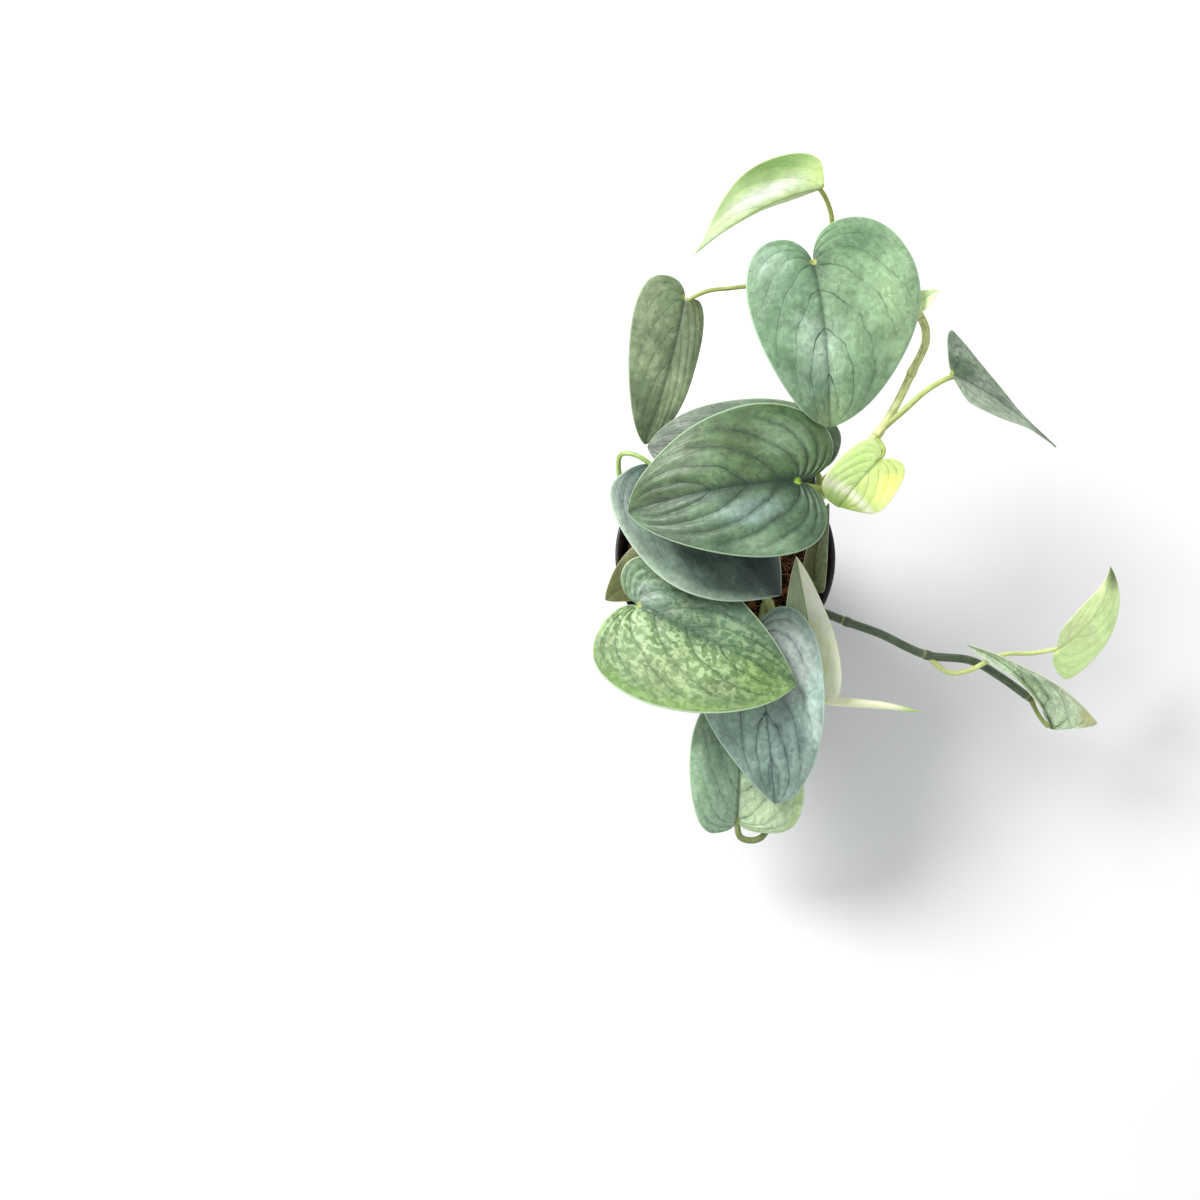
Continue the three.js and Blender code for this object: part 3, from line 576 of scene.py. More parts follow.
def turns_round(sides):
    return np.linspace(0, ROUND, sides, endpoint=False)


def run_along(path):
    """How far each point of the path lies from its start, along the path."""
    return np.concatenate([[0], np.cumsum(np.linalg.norm(np.diff(path, axis=0), axis=1))])


def grid_faces(rows, columns, closed=False):
    """The quads of a grid of points, and with closed also those from its last column to its first."""
    faces = []
    for i in range(rows - 1):
        for k in range(columns if closed else columns - 1):
            a, b = i * columns + k, i * columns + (k + 1) % columns
            faces.append((a, a + columns, b + columns, b))
    return faces


def turned(faces):
    """The faces seen from their other side."""
    return [face[::-1] for face in faces]


def revolve(profile, sides, x=0, y=0):
    """The profile's points, each a radius and a height, carried round an upright axis at x, y."""
    return [(x + r * math.cos(t), y + r * math.sin(t), z) for r, z in profile for t in turns_round(sides)]


def smooth_path(path, count):
    """A centripetal Catmull-Rom curve through the path's points, as count points evenly along it."""
    p = np.array(path, float)
    p = np.vstack([2 * p[0] - p[1], p, 2 * p[-1] - p[-2]])
    fine = []
    for i in range(1, len(p) - 2):
        p0, p1, p2, p3 = p[i - 1:i + 3]
        d0, d1, d2 = (max(np.linalg.norm(b - a), TINY) ** 0.5 for a, b in ((p0, p1), (p1, p2), (p2, p3)))
        t1 = d1 * ((p1 - p0) / d0 - (p2 - p0) / (d0 + d1) + (p2 - p1) / d1)
        t2 = d1 * ((p2 - p1) / d1 - (p3 - p1) / (d1 + d2) + (p3 - p2) / d2)
        square, cube = 3 * (p2 - p1) - 2 * t1 - t2, 2 * (p1 - p2) + t1 + t2
        for t in np.linspace(0, 1, CURVE_STEPS, endpoint=False):
            fine.append(p1 + t * t1 + t * t * square + t ** 3 * cube)
    fine = np.array(fine + [p[-2]])
    run = run_along(fine)
    even = np.linspace(0, run[-1], count)
    return np.stack([np.interp(even, run, fine[:, k]) for k in range(3)], axis=1), even


def wrap(builder, path, run, across, lift, reach, ends, slot=0, marks=0, seed=0, mirrored=False):
    """A closed skin round the path, with the share along it, the turn and the mark as its place.

    across and lift are the skin's two directions at each point of the path, reach is how far the skin lies
    from it there at each turn, and ends are the points that close it.
    """
    turns = turns_round(reach.shape[1])
    circle = np.cos(turns)[:, None] * across[:, None] + np.sin(turns)[:, None] * lift[:, None]
    rings = path[:, None] + reach[..., None] * circle
    place = np.stack(np.broadcast_arrays(run[:, None] / run[-1], turns / ROUND, marks), -1)
    flat = np.stack(np.broadcast_arrays(run[:, None], np.full(len(turns), seed), 0), -1)
    one_more_each_end = ((1, 1), (0, 0), (0, 0))
    points, place, flat = (np.pad(values, one_more_each_end, "edge") for values in (rings, place, flat))
    points[0], points[-1] = ends
    faces = grid_faces(len(points), len(turns), closed=True)
    builder.add(points, faces if mirrored else turned(faces), slot, place, flat)


def tube(builder, path, radii, sides, slot=0, marks=0, seed=0, oval=1):
    """A closed tube along the path's points."""
    path, radii = np.asarray(path, float), np.asarray(radii, float)
    tangents = unit(np.gradient(path, axis=0))
    across = [unit(np.cross(tangents[0], [0, 0.1, 1]))]
    for tangent in tangents:
        across.append(unit(across[-1] - dot(across[-1], tangent) * tangent))
    across = np.array(across[1:])
    ends = [path[0] - tangents[0] * radii[0] / 2, path[-1] + tangents[-1] * radii[-1] / 2]
    wrap(builder, path, run_along(path), across, oval * np.cross(tangents, across),
         np.repeat(radii[:, None], sides, 1), ends, slot, marks, seed)


def of_half(value, half):
    """A value given once for the whole leaf, or as a pair for its two halves."""
    return value[half] if isinstance(value, tuple) else value


def by_half(left, pair):
    """The first of the pair where left is true, and the second elsewhere."""
    return np.where(left, pair[0], pair[1])


def half_outline(s, leaf, half):
    """Half of a flat leaf's outline, as shares of the length and of the half width.

    The rounded half has three Bezier stretches, and a wedge goes straight to the lobe's corner and on to
    the tip. A half can lie between the two.
    """
    lobe = leaf["lobes"][half]
    widest, blunt, wedge = (of_half(leaf.get(key, usual), half) for key, usual in (
        ("widest", WIDEST), ("blunt", BLUNT), ("wedge", 0)))
    rounded_half = np.array([
        (0, 0), (-0.45 * lobe, 0.02), (-lobe, 0.16), (-lobe, LOBE_RISE),
        (-lobe, 0.78), (max(widest - 0.24, -lobe), 1), (widest, 1),
        (widest + SHOULDER, 1), (0.8 + blunt / 4, blunt), (1, 0)])
    to_corner = [(-lobe * share, share) for share in (0, 0.16, 0.32, LOBE_RISE, 0.8, 0.97)]
    to_tip = [(-lobe + (1 + lobe) * share, 1 - share) for share in (0.04, 0.35, 0.7, 1)]
    corners = (1 - wedge) * rounded_half + wedge * np.array(to_corner + to_tip)
    outline = np.zeros((len(s), 2))
    for k, (start, end) in enumerate(((0, LOBE_SHARE), (LOBE_SHARE, WIDEST_SHARE), (WIDEST_SHARE, 1))):
        inside = (s >= start) & (s <= end)
        t = ((s[inside] - start) / (end - start))[:, None]
        a, b, c, d = corners[3 * k:3 * k + 4]
        outline[inside] = (1 - t) ** 3 * a + 3 * (1 - t) ** 2 * t * b + 3 * (1 - t) * t ** 2 * c + t ** 3 * d
    return outline


def leaf_frame(leaf):
    """The leaf with its sideways direction, the three points of its midrib and its length."""
    base, tip, bow = (np.array(leaf[key], float) for key in ("base", "tip", "bow"))
    chord = unit(tip - base)
    side = unit(np.cross([0, 0, 1], chord))
    roll = math.radians(leaf.get("roll", 0))
    side = side * math.cos(roll) + np.cross(chord, side) * math.sin(roll)
    midrib = (base, (base + tip) / 2 + 2 * bow, tip)
    length = run_along(arc(np.linspace(0, 1, 200)[:, None], *midrib))[-1]
    return {**leaf, "side": side, "midrib": midrib, "length": length}


def blade_point(leaf, along, across):
    """Points of the blade's middle surface: along is a share of its length, across in millimetres."""
    base, middle, tip = leaf["midrib"]
    t = np.clip(along, 0, 1)[..., None]
    tangent = unit(2 * (1 - t) * (middle - base) + 2 * t * (tip - middle))
    side = unit(leaf["side"] - dot(leaf["side"], tangent) * tangent)
    turn = (math.radians(leaf.get("twist", 0)) * along)[..., None]
    side = side * np.cos(turn) + np.cross(tangent, side) * np.sin(turn)
    left = across >= 0
    fold = np.radians(by_half(left, leaf["folds"]))
    curls = [curl or 0.1 for curl in leaf["curls"]]
    bend = np.radians(by_half(left, curls)) / by_half(left, leaf["widths"])
    turned_by = fold + bend * np.abs(across)
    out = (np.sin(turned_by) - np.sin(fold)) / bend
    up = (np.cos(fold) - np.cos(turned_by)) / bend
    back = (np.minimum(along, 0) * leaf["length"])[..., None]
    sideways = side * by_half(left, (out, -out))[..., None]
    return arc(t, *leaf["midrib"]) + tangent * back + sideways + np.cross(tangent, side) * up[..., None]


def blade_normal(leaf, along, across):
    share, reach = 0.01, 0.4
    ahead = blade_point(leaf, along + share, across) - blade_point(leaf, along - share, across)
    beside = blade_point(leaf, along, across + reach) - blade_point(leaf, along, across - reach)
    return unit(np.cross(ahead, beside))


def blade_relief(leaf, look, seed, left, rows, cols, vein, distance):
    """How far the blade stands off its middle surface, by its quilting, its waves and its lifted margin."""
    ridge = np.abs(np.sin(math.pi * (vein * look.get("veins", VEINS) + 0.5)))
    room = step(distance, *QUILT_IN) * (1 - step(cols, *QUILT_OUT)) * (1 - step(rows, *QUILT_TIP))
    wave = np.sin(WAVES[0] * rows + seed + 2.1 * left) + WAVE_FINE * np.sin(WAVES[1] * rows + 2.3 * seed)
    wave = wave * WAVE_HEIGHT * max(leaf["widths"]) * cols ** 2.5
    wave = wave * step(rows, *WAVE_IN) * (1 - step(rows, *WAVE_TIP))
    relief = look["quilt"] * (ridge ** 0.7 - 0.6) * room + wave
    if "lift" in look:
        half, height, first, last = look["lift"]
        swell = np.clip(1 - ((2 * rows - first - last) / (last - first)) ** 2, 0, 1) ** 1.5
        relief = relief + height * swell * step(cols, *LIFT_OUT) ** 1.2 * (left == (half == 0))
    return relief


def blade(builder, leaf, look, seed):
    """The blade: its upper and lower face and a rounded margin, with the veins sunk into the upper face."""
    s = np.linspace(0, 1, ROWS + 1)
    w = np.linspace(0, 1, COLUMNS + 1) ** COLUMN_EASE
    signed = np.concatenate([-w[:0:-1], w])
    left = signed >= 0
    rows, cols = np.meshgrid(s, np.abs(signed), indexing="ij")
    start = np.maximum(0, (rows - FAN_END) / (1 - FAN_END)) ** FAN_EASE
    outlines = [half_outline(s, leaf, half) for half in (0, 1)]
    reach, breadth = (by_half(left, [outline[:, k, None] for outline in outlines]) for k in (0, 1))
    along = start + (reach - start) * cols
    across = breadth * by_half(left, leaf["widths"]) * signed
    vein = rows - VEIN_SWEEP * cols ** VEIN_EASE
    distance = np.abs(across)
    middle, normal = blade_point(leaf, along, across), blade_normal(leaf, along, across)
    relief = blade_relief(leaf, look, seed, left, rows, cols, vein, distance)
    thick = BLADE + (EDGE_THICKNESS - BLADE) * cols ** 3
    groove = GROOVE * min(1, max(leaf["widths"]) / BROAD_LEAF) * np.exp(-(distance / GROOVE_REACH) ** 2)
    rib = RIB * np.exp(-(distance / RIB_REACH) ** 2)
    top = middle + normal * (relief + thick / 2 - groove * (1 - start))[..., None]
    bottom = middle + normal * (relief - thick / 2 - rib * (1 - start))[..., None]
    place = np.stack([vein, cols, rows], axis=-1)
    flat = np.stack(np.broadcast_arrays(along * leaf["length"], across, by_half(left, (1, -1))), axis=-1)
    faces = grid_faces(*rows.shape)
    builder.add(top, faces, 0, place, flat)
    builder.add(bottom, turned(faces), 1, place, flat)
    rim_faces = grid_faces(ROWS + 1, 3)
    for column, inner, strip_faces in ((-1, -2, rim_faces), (0, 1, turned(rim_faces))):
        outward = middle[:, column] - middle[:, inner]
        outward = unit(outward) * (np.linalg.norm(outward, axis=-1, keepdims=True) >= TOGETHER)
        raised = normal[:, column] * relief[:, column, None]
        round_edge = middle[:, column] + outward * EDGE_THICKNESS / 2 + raised
        strip = np.stack([top[:, column], round_edge, bottom[:, column]], axis=1)
        builder.add(strip, strip_faces, 0, *(np.repeat(a[:, column, None], 3, axis=1) for a in (place, flat)))


def stalk(builder, leaf):
    """The leaf stalk: a little wider where it leaves the stem, and running out below the midrib."""
    radius = leaf.get("radius", STALK_RADIUS)
    on_midrib = np.array([0.0])
    normal = blade_normal(leaf, np.array([0.03]), on_midrib)[0]
    held = [blade_point(leaf, np.array([share]), on_midrib)[0] - normal * (BLADE / 2 + sunk * radius)
            for share, sunk in STALK_UNDER]
    path, run = smooth_path([*leaf["stalk"], *held], STALK_POINTS)
    share = run / run[-1]
    out_from = 1 - np.linalg.norm(held[-1] - held[0]) / run[-1]
    foot = STALK_FOOT * (1 - step(share, 0, STALK_FOOT_END))
    waist = STALK_WAIST * step(share, *STALK_WAIST_FROM)
    radii = radius * (1 + foot - waist) * (1 - STALK_END * step(share, out_from, 1))
    tube(builder, path, radii, STALK_SIDES, 2, oval=STALK_OVAL)


def leaf_top(name, leaf, look):
    """The upper face: soft mottling, tints and patches first, and then the veins, the grain and the rim."""
    m = Shader(name + "_upper", 0.42, 0.45)
    place, flat = m.attribute("place"), m.attribute("flat")
    vein, width, outline = m.split(place)
    along, across, half = m.split(flat)
    aside = abs(across)
    veins = look.get("veins", VEINS)
    dark = look["vein"]
    mottle, ragged = SMOOTH_FACE if look.get("smooth") else MOTTLED_FACE
    left = m.ramp(half, *MIDRIB)
    halves = (left, 1 - left)
    wander = m.noise(flat, 0.08, 4)
    phase = vein * veins - VEIN_START + (wander - 0.35) * VEIN_WANDER
    near = abs(m.math("FRACT", phase) - 0.5)
    fade = m.ramp(width, *VEINS_OUT) * m.ramp(outline, *VEINS_TIP)
    lines = m.ramp(near, *VEIN_LINE) * fade
    streaks = m.noise(m.join(vein * STREAK_GRID[0], width * STREAK_GRID[1], half * 4), 1, 4, 0.6)
    web = m.join(vein * (veins * NET_GRID[0]), width * NET_GRID[1], half * APART)
    web = m.ramp(m.cells(web, 1, feature="DISTANCE_TO_EDGE"), *NET_LINE)
    fleck = m.split(m.cells(flat, FLECKS, "Color"))[0]
    cloud = m.noise(flat, CLOUDS, 6, 0.65)

    colour = m.mix(m.ramp(cloud, 0.38, 0.62) * look["clouds"], look["body"], look["shade"])
    for chosen, tint in zip(halves, look.get("tints", ())):
        if tint:
            colour = m.mix(chosen * tint[3], colour, tint[:3])
    if "edge" in look:
        side, first, edge_colour, amount = look["edge"]
        mask = m.ramp(width + (cloud - 0.5) * 0.5, first, first + EDGE_EASE) * (halves[side] * amount)
        colour = m.mix(mask, colour, edge_colour)
    if "patches" in look:
        amount_left, amount_right, patch_colour = look["patches"]
        blocks = m.join(vein * (veins * PATCH_GRID[0]), width * PATCH_GRID[1], half * APART)
        field = m.noise(blocks, 1, 5, 0.7, 0.9) * 0.7 + fleck * 0.3
        mask = m.ramp(field, *PATCH_LINE) * m.ramp(half, *MIDRIB, amount_right, amount_left)
        mask = mask * m.ramp(near, *PATCH_BY_VEIN) * m.ramp(width, *PATCH_OUT)
        colour = m.mix(mask, colour, patch_colour)
    for share, sideways, reach_along, reach_across, spot_colour, amount in look.get("zones", ()):
        far = m.far((along - share * leaf["length"]) / reach_along, (across - sideways) / reach_across)
        mask = m.ramp(far + (cloud - 0.5) * ragged, *ZONE_LINE, 0, amount)
        colour = m.mix(mask, colour, spot_colour)

    first, last, feather, strength = look["band"]
    beyond = aside + (streaks - 0.5) * (feather * 2) - m.ramp(along, 0, leaf["length"], first, last)
    colour = m.mix(m.ramp(beyond, 0.5 + 0.7 * feather, -0.6 - 0.4 * feather, 0, strength), colour, dark)
    # Painted shade, darker in the valleys beside the side veins.
    colour = m.mix(m.ramp(near, *VEIN_VALLEY_SHADE) * fade * look["valley_shade"], colour, dark)
    broken = m.ramp(m.noise(flat, 0.16, 4), *VEINS_BROKEN) * m.ramp(aside, *VEINS_IN)
    colour = m.mix(lines * broken * look["lines"], colour, dark)
    colour = m.mix(web * broken * look["net"], colour, dark)

    left_tone, right_tone = look.get("tone", (1, 1))
    grain = m.ramp(fleck, 0, 1, 1 - mottle, 1 + mottle) + (streaks - 0.5) * STREAK_STRENGTH
    grain = grain * m.ramp(m.noise(flat, BROAD_CLOUDS, 3, 0.55), *BROAD_TONE)
    grain = grain * m.ramp(half, *MIDRIB, right_tone, left_tone)
    colour = m.mix(1, colour, m.join(grain, grain, grain), "MULTIPLY")
    colour = m.mix(m.ramp(aside, *RIB_LINE) * 0.35, colour, dark)
    colour = m.mix(m.ramp(width, *RIM_LINE) * 0.85, colour, look["rim"])
    colour = m.mix(m.ramp(m.far(along, across), *SPOT_LINE), colour, look.get("spot", look["stalk"]))
    height = m.ramp(fleck, 0, 1) * 0.12 + m.noise(flat, PORES, 3) * 0.4 - lines * 0.8 - web * 0.35
    m.surface.inputs["Subsurface Weight"].default_value = look.get("glow", GLOW)
    m.surface.inputs["Subsurface Scale"].default_value = GLOW_DEPTH
    m.surface.inputs["Subsurface Radius"].default_value = GLOW_COLOUR
    return m.finish(colour, height, roughness=m.ramp(cloud, 0.3, 0.7, 0.38, 0.5))


def leaf_under(name, look):
    """The lower face: the body's colour gone pale and dull, with pale veins."""
    m = Shader(name + "_lower", 0.55, 0.35)
    flat = m.attribute("flat")
    vein, width, _outline = m.split(m.attribute("place"))
    near = abs(m.math("FRACT", vein * look.get("veins", VEINS)) - 0.5)
    lines = m.ramp(near, 0.06, 0.01) * m.ramp(width, 0.95, 0.6)
    pale = [0.7 * c + 0.3 * d for c, d in zip(look["body"], UNDER_PALE)]
    dull = [0.82 * c for c in pale]
    colour = m.mix(m.ramp(m.noise(flat, 0.08, 4, 0.6), 0.35, 0.68), pale, dull)
    colour = m.mix(lines * 0.35, colour, UNDER_VEIN)
    colour = m.mix(m.ramp(abs(m.split(flat)[1]), 1.3, 0.4), colour, look["stalk"])
    return m.finish(colour, lines + m.noise(flat, PORES_UNDER, 3) * 0.4)


def stalk_material(name, colour):
    """The skin of a stalk or a stem: fine streaks along it, specks, and a pale ring at each node."""
    m = Shader(name, 0.42, 0.4)
    share, turn, mark = m.split(m.attribute("place"))
    run, seed, _rest = m.split(m.attribute("flat"))
    around = m.math("COSINE", turn * ROUND)
    streaks = m.noise(m.join(run * 0.12, around * 2, seed), 1.6, 4, 0.6)
    dark = [0.84 * c for c in colour]
    light = [min(255, 1.08 * c + 8) for c in colour]
    painted = m.mix(m.ramp(streaks, 0.3, 0.7), dark, light)
    painted = m.mix(m.ramp(share, 0, 0.6, 0.6, 0), painted, dark)
    speck = m.ramp(m.cells(m.object_place(), 700), 0.2, 0)
    painted = m.mix(speck * 0.35, painted, light)
    painted = m.mix(mark * 0.7, painted, NODE_RING)
    return m.finish(painted, streaks + speck * 0.3, 0.0002)


def make_leaf(name, seed):
    leaf, look = leaf_frame(LEAVES[name]), LOOKS[name]
    builder = Builder()
    blade(builder, leaf, look, seed)
    stalk(builder, leaf)
    materials = [leaf_top(name, leaf, look), leaf_under(name, look),
                 stalk_material(name + "_stalk", look["stalk"])]
    piece = builder.object(name + "_fine", materials)
    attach(piece, "root")
    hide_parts("leaf_" + name)


def make_spear():
    """The rolled new leaf: its edge winds round it as a seam."""
    path, run = smooth_path(SPEAR_PATH, SPEAR_POINTS)
    share = run / run[-1]
    tangents = unit(np.gradient(path, axis=0))
    across = unit(SPEAR_SIDE - dot(SPEAR_SIDE, tangents) * tangents)
    seam = (turns_round(SPEAR_SIDES) / ROUND + SEAM_TURNS * share[:, None] + SEAM_START) % 1
    reach = SPEAR_RADIUS * np.interp(share, *SPEAR_SHAPE)[:, None] * (1 - SEAM_STEP * seam)
    ends = [path[0], path[-1] + tangents[-1] * SPEAR_POINT]
    builder = Builder()
    wrap(builder, path, run, across, np.cross(across, tangents), reach, ends,
         marks=1 - 2 * np.minimum(seam, 1 - seam), seed=3, mirrored=True)
    m = Shader("rolled_leaf", 0.4, 0.45)
    along, turn, mark = m.split(m.attribute("place"))
    streaks = m.noise(m.join(along * 3, turn * 9, 0), 2, 4)
    colour = m.mix(m.ramp(streaks, 0.35, 0.65), (255, 255, 226), (248, 252, 198))
    colour = m.mix(m.ramp(along, 0.72, 0.98), colour, (164, 206, 104))
    colour = m.mix(m.ramp(mark, 0.86, 0.98), colour, (196, 212, 130))
    piece = builder.object("rolled_spear_fine", [m.finish(colour, streaks, 0.0002, 0.4)])
    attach(piece, "root")
    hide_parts("leaf_rolled_spear")


def make_stem(name, colour):
    """A stem with a ring and a slight swelling where each leaf stalk leaves it."""
    stem = STEMS[name]
    foot = [(*stem["foot"], SOIL_TOP - depth) for depth in STEM_SUNK]
    path, run = smooth_path(foot + stem["path"], 120 + 28 * len(stem["path"]))
    marks, swell = np.zeros(len(path)), np.zeros(len(path))
    nodes = [leaf["stalk"][0] for leaf in LEAVES.values() if leaf["stem"] == name]
    for node in nodes + stem.get("bare_nodes", []):
        nearest = np.argmin(np.linalg.norm(path - np.array(node, float), axis=1))
        gap = run - run[nearest]
        swell += NODE_SWELL * np.exp(-(gap / NODE_REACH) ** 2)
        marks += np.exp(-((gap + RING_BEFORE) / RING_REACH) ** 2)
    marks = np.clip(marks, 0, 1)
    radii = stem["radius"] * (0.95 + np.minimum(swell, NODE_SWELL_MOST))
    radii *= 1 - 0.25 * step(run, run[-1] - 3, run[-1])
    builder = Builder()
    tube(builder, path, radii - RING_DEPTH * marks, STEM_SIDES, marks=marks[:, None])
    piece = builder.object(name + "_fine", [stalk_material(name + "_skin", colour)])
    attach(piece, "root")
    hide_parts(name)


def soil_height(x, y):
    """The height of the potting mix at x, y: a low dome with lumps and crumbs."""
    lumps = math.sin(x / 4.1 + 1) * math.cos(y / 5.3) + 0.6 * math.sin((x + y) / 3.1)
    height = SOIL_TOP + SOIL_RELIEF * 0.4 * lumps + SOIL_DOME * (1 - (x * x + y * y) / SOIL_REACH ** 2)
    crumbs = noise.fractal(Vector((x / 3.5, y / 3.5, 0.3)), 0.8, 2.1, 4)
    return height + 0.9 * crumbs


def soil_material(name, dark, light, scale):
    """Crumbs of two colours, and each bit of litter a little lighter or darker by its own seed."""
    m = Shader(name, 0.9, 0.2)
    seed = m.split(m.attribute("flat"))[1]
    crumb = m.noise(m.object_place(), scale, 6, 0.7)
    colour = m.mix(m.ramp(crumb * 0.6 + seed * 0.4, 0.3, 0.7), dark, light)
    return m.finish(colour, crumb, 0.0008, 0.8)


def somewhere(rng, reach):
    """A random place on the potting mix within this reach, all equally likely."""
    radius = reach * math.sqrt(rng.random())
    turn = rng.random() * ROUND
    return radius * math.cos(turn), radius * math.sin(turn)


def fibre(builder, rng):
    """A coir fibre that wanders over the potting mix in a low bow, and stops at the bed's edge."""
    x, y = somewhere(rng, SOIL_EDGE - 1.5)
    heading, bend = rng.random() * ROUND, rng.uniform(-0.12, 0.12)
    length, lift = rng.uniform(5, 18), rng.uniform(0.2, 2.6)
    path = []
    for k in range(FIBRE_STEPS):
        bow = math.sin(math.pi * k / (FIBRE_STEPS - 1))
        path.append((x, y, soil_height(x, y) + 0.1 + lift * bow * rng.uniform(0.7, 1.0)))
        heading += bend + rng.uniform(-0.15, 0.15)
        x += math.cos(heading) * length / FIBRE_STEPS
        y += math.sin(heading) * length / FIBRE_STEPS
        if math.hypot(x, y) > SOIL_EDGE - 0.5:
            break
    if len(path) >= 4:
        thickness = rng.uniform(0.12, 0.3)
        tube(builder, path, [thickness] * len(path), FIBRE_SIDES, seed=rng.random())


def chip(builder, rng, centre, size):
    """A flat broken chip of bark, which stays inside the bed's edge."""
    long, thin = rng.uniform(0.9, 1.5), rng.uniform(0.3, 0.55)
    spin, tip = rng.random() * math.pi, rng.uniform(-0.5, 0.5)
    offset = Vector((rng.random() * 50, 0, 0))
    points = []
    for i in range(CHIP_ROWS):
        polar = math.pi * i / (CHIP_ROWS - 1)
        for x, y, z in revolve([(math.sin(polar), math.cos(polar))], CHIP_SIDES):
            ball = Vector((x, y, z))
            if 0 < i < CHIP_ROWS - 1:
                ball *= 1 + 0.45 * noise.noise(ball * 1.7 + offset)
            x, y, z = ball.x * long * size, ball.y * size * 0.8, ball.z * size * thin
            x, z = x * math.cos(tip) + z * math.sin(tip), z * math.cos(tip) - x * math.sin(tip)
            x, y = x * math.cos(spin) - y * math.sin(spin), x * math.sin(spin) + y * math.cos(spin)
            x, y = centre[0] + x, centre[1] + y
            inside = min(1, SOIL_EDGE / max(math.hypot(x, y), SOIL_EDGE))
            points.append((x * inside, y * inside, centre[2] + z))
    builder.add(points, grid_faces(CHIP_ROWS, CHIP_SIDES, closed=True), flat=(0, rng.random(), 0))


def make_soil(rng):
    """The bed of potting mix, and the coir fibres and bark chips that lie on it."""
    top = revolve([(SOIL_EDGE * ring / SOIL_RINGS, 0) for ring in range(SOIL_RINGS + 1)], SOIL_SIDES)
    points = [(x, y, soil_height(x, y)) for x, y, _z in top]
    points += revolve([(SOIL_FOOT, SOIL_FLOOR), (0, SOIL_FLOOR)], SOIL_SIDES)
    builder = Builder()
    builder.add(points, grid_faces(SOIL_RINGS + 3, SOIL_SIDES, closed=True), flat=(0, 0.3, 0))
    bed = builder.object("soil_bed", [soil_material("peat", (34, 24, 18), (96, 66, 46), 420)])
    builder = Builder()
    for _ in range(FIBRES):
        fibre(builder, rng)
    coir = builder.object("coir_fibres", [soil_material("coir", (92, 56, 36), (206, 146, 98), 900)])
    builder = Builder()
    for _ in range(CHIPS):
        x, y = somewhere(rng, SOIL_EDGE - 3)
        chip(builder, rng, (x, y, soil_height(x, y) + 0.6), rng.uniform(1.4, 4.2))
    for centre, size in RIM_CHIPS:
        chip(builder, rng, centre, size)
    bark = builder.object("bark_chips", [soil_material("bark", (56, 34, 24), (166, 106, 70), 380)])
    for piece in (bed, coir, bark):
        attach(piece, "root")
    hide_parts("potting_mix")


def rounded(profile, radius, steps=4):
    """The profile with each inner corner rounded."""
    out = [profile[0]]
    for before, corner, after in zip(profile, profile[1:], profile[2:]):
        b, c, a = (np.array(p, float) for p in (before, corner, after))
        r = min(radius, np.linalg.norm(b - c) / 2.1, np.linalg.norm(a - c) / 2.1)
        start, end = c + unit(b - c) * r, c + unit(a - c) * r
        out += [tuple(arc(t, start, c, end)) for t in np.linspace(0, 1, steps)]
    return [*out, profile[-1]]


def plastic():
    """Black plastic with a little dust, and more of it towards the foot."""
    m = Shader("black_plastic", 0.42, 0.5)
    place = m.object_place()
    dust = m.noise(place, 60, 5, 0.65)
    low = m.ramp(m.split(place)[2], 0.03, 0, 0, 0.5)
    colour = m.mix(m.ramp(dust, 0.5, 0.75, 0, 0.35), (20, 21, 22), (58, 52, 46))
    colour = m.mix(low * m.ramp(dust, 0.35, 0.7), colour, (70, 62, 54))
    return m.finish(colour, m.noise(place, 900, 3, 0.6), 0.0002, 0.35, m.ramp(dust, 0.35, 0.7, 0.34, 0.6))


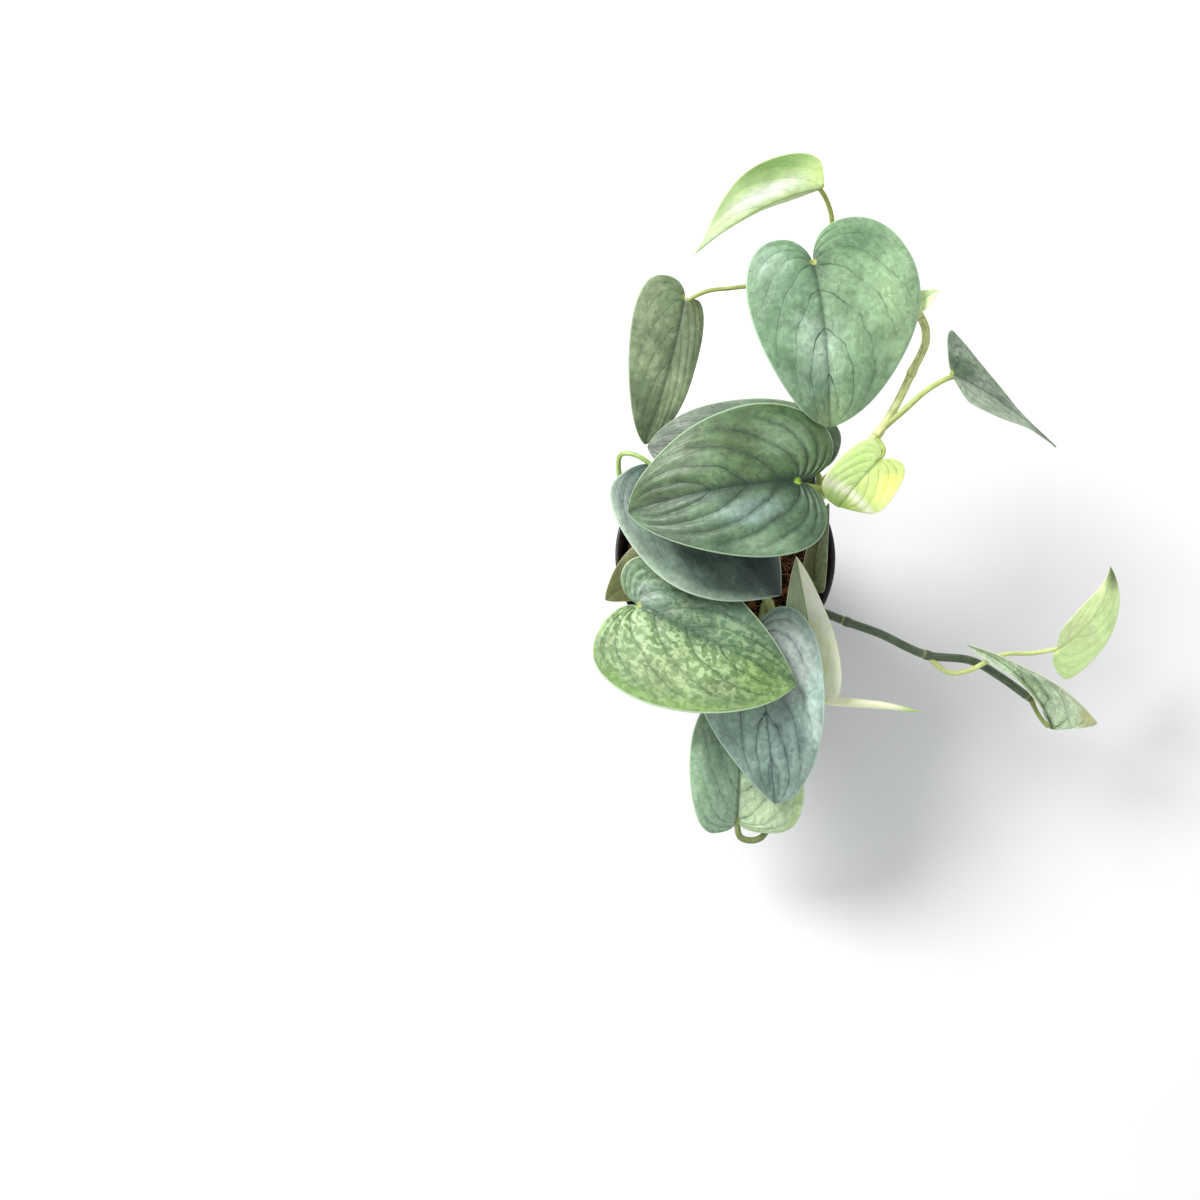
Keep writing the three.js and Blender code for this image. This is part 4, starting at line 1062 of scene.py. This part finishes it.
def make_pot():
    """The pot: a turned profile with a rolled lip and a foot ring, cut by the drain holes."""
    neck, band = RIM_RADIUS - LIP_WIDTH, POT_HEIGHT - LIP_HEIGHT
    profile = rounded([
        (0, 0), (BASE_RADIUS - 6, 0), (BASE_RADIUS - 5.4, 0.5), (BASE_RADIUS - 3.6, 0.5),
        (BASE_RADIUS - 3, 0), (BASE_RADIUS - 1, 0), (BASE_RADIUS, 1), (neck, band),
        (neck + 1.2, band + 0.6), (RIM_RADIUS - 0.6, POT_HEIGHT - 2.2), (RIM_RADIUS, POT_HEIGHT - 1.2),
        (RIM_RADIUS - 0.5, POT_HEIGHT), (RIM_RADIUS - 1.9, POT_HEIGHT), (RIM_RADIUS - 2.6, POT_HEIGHT - 1),
        (neck - WALL, band - 1), (BASE_RADIUS - WALL, FLOOR), (0, FLOOR)], POT_ROUNDING)
    builder = Builder()
    faces = grid_faces(len(profile), POT_SIDES, closed=True)
    builder.add(revolve(profile, POT_SIDES), turned(faces))
    pot = builder.object("pot_fine", [plastic()])
    cutters = Builder()
    low, high = DRAIN_CUT
    hole = [(0, low), (DRAIN_RADIUS, low), (DRAIN_RADIUS, high), (0, high)]
    faces = turned(grid_faces(len(hole), DRAIN_SIDES, closed=True))
    for x, y, _z in revolve([(DRAIN_RING, 0)], DRAIN_HOLES):
        cutters.add(revolve(hole, DRAIN_SIDES, x, y), faces)
    cutter = cutters.object("drain_cutters")
    cut = pot.modifiers.new("drain", "BOOLEAN")
    cut.operation = "DIFFERENCE"
    cut.solver = "EXACT"
    cut.object = cutter
    bpy.context.view_layer.update()
    evaluated = pot.evaluated_get(bpy.context.evaluated_depsgraph_get())
    pot.modifiers.clear()
    pot.data = bpy.data.meshes.new_from_object(evaluated)
    bpy.data.objects.remove(cutter)
    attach(pot, "root")
    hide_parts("pot")


def make_stage():
    m = Shader("pale_floor", 0.6, 0.2)
    grain = m.noise(m.object_place(), 3, 3)
    r = STAGE_REACH
    mesh = bpy.data.meshes.new("floor")
    mesh.from_pydata([(-r, -r, 0), (r, -r, 0), (r, r, 0), (-r, r, 0)], [], [(0, 1, 2, 3)])
    mesh.materials.append(m.finish(m.mix(m.ramp(grain, 0.3, 0.7), (238, 238, 239), (242, 242, 243))))
    floor = link("floor", mesh)


def make_light():
    """One soft round lamp from the upper left, and an even sky."""
    world = bpy.data.worlds.new("studio")
    world.use_nodes = True
    background = world.node_tree.nodes["Background"]
    background.inputs["Color"].default_value = SKY_COLOUR
    background.inputs["Strength"].default_value = SKY_STRENGTH
    bpy.context.scene.world = world
    data = bpy.data.lights.new("key", "AREA")
    data.shape = "DISK"
    data.size = KEY_SIZE
    data.energy = KEY_POWER
    data.color = KEY_COLOUR
    light = link("key", data)
    light.location = KEY_PLACE
    light.rotation_euler = (Vector(KEY_AIM) - Vector(KEY_PLACE)).to_track_quat("-Z", "Y").to_euler()
    bpy.context.scene.view_settings.view_transform = "Standard"


def make_camera():
    data = bpy.data.cameras.new("camera")
    data.lens = CAMERA_LENS
    data.sensor_width = SENSOR
    camera = link("camera", data)
    camera.location = Vector(CAMERA_PLACE) * MM
    camera.rotation_euler = (math.radians(90 - CAMERA_ELEVATION), 0, 0)
    bpy.context.scene.camera = camera


make_camera()
make_stage()
make_light()
for number, leaf_name in enumerate(LEAVES):
    make_leaf(leaf_name, SEED_STEP * number)
make_spear()
for stem_name in ("stem_back", "stem_middle", "stem_left", "stem_front"):
    make_stem(stem_name, STEM_COLOUR)
make_stem("stem_runner", RUNNER_COLOUR)
make_soil(random.Random(LITTER_SEED))
make_pot()
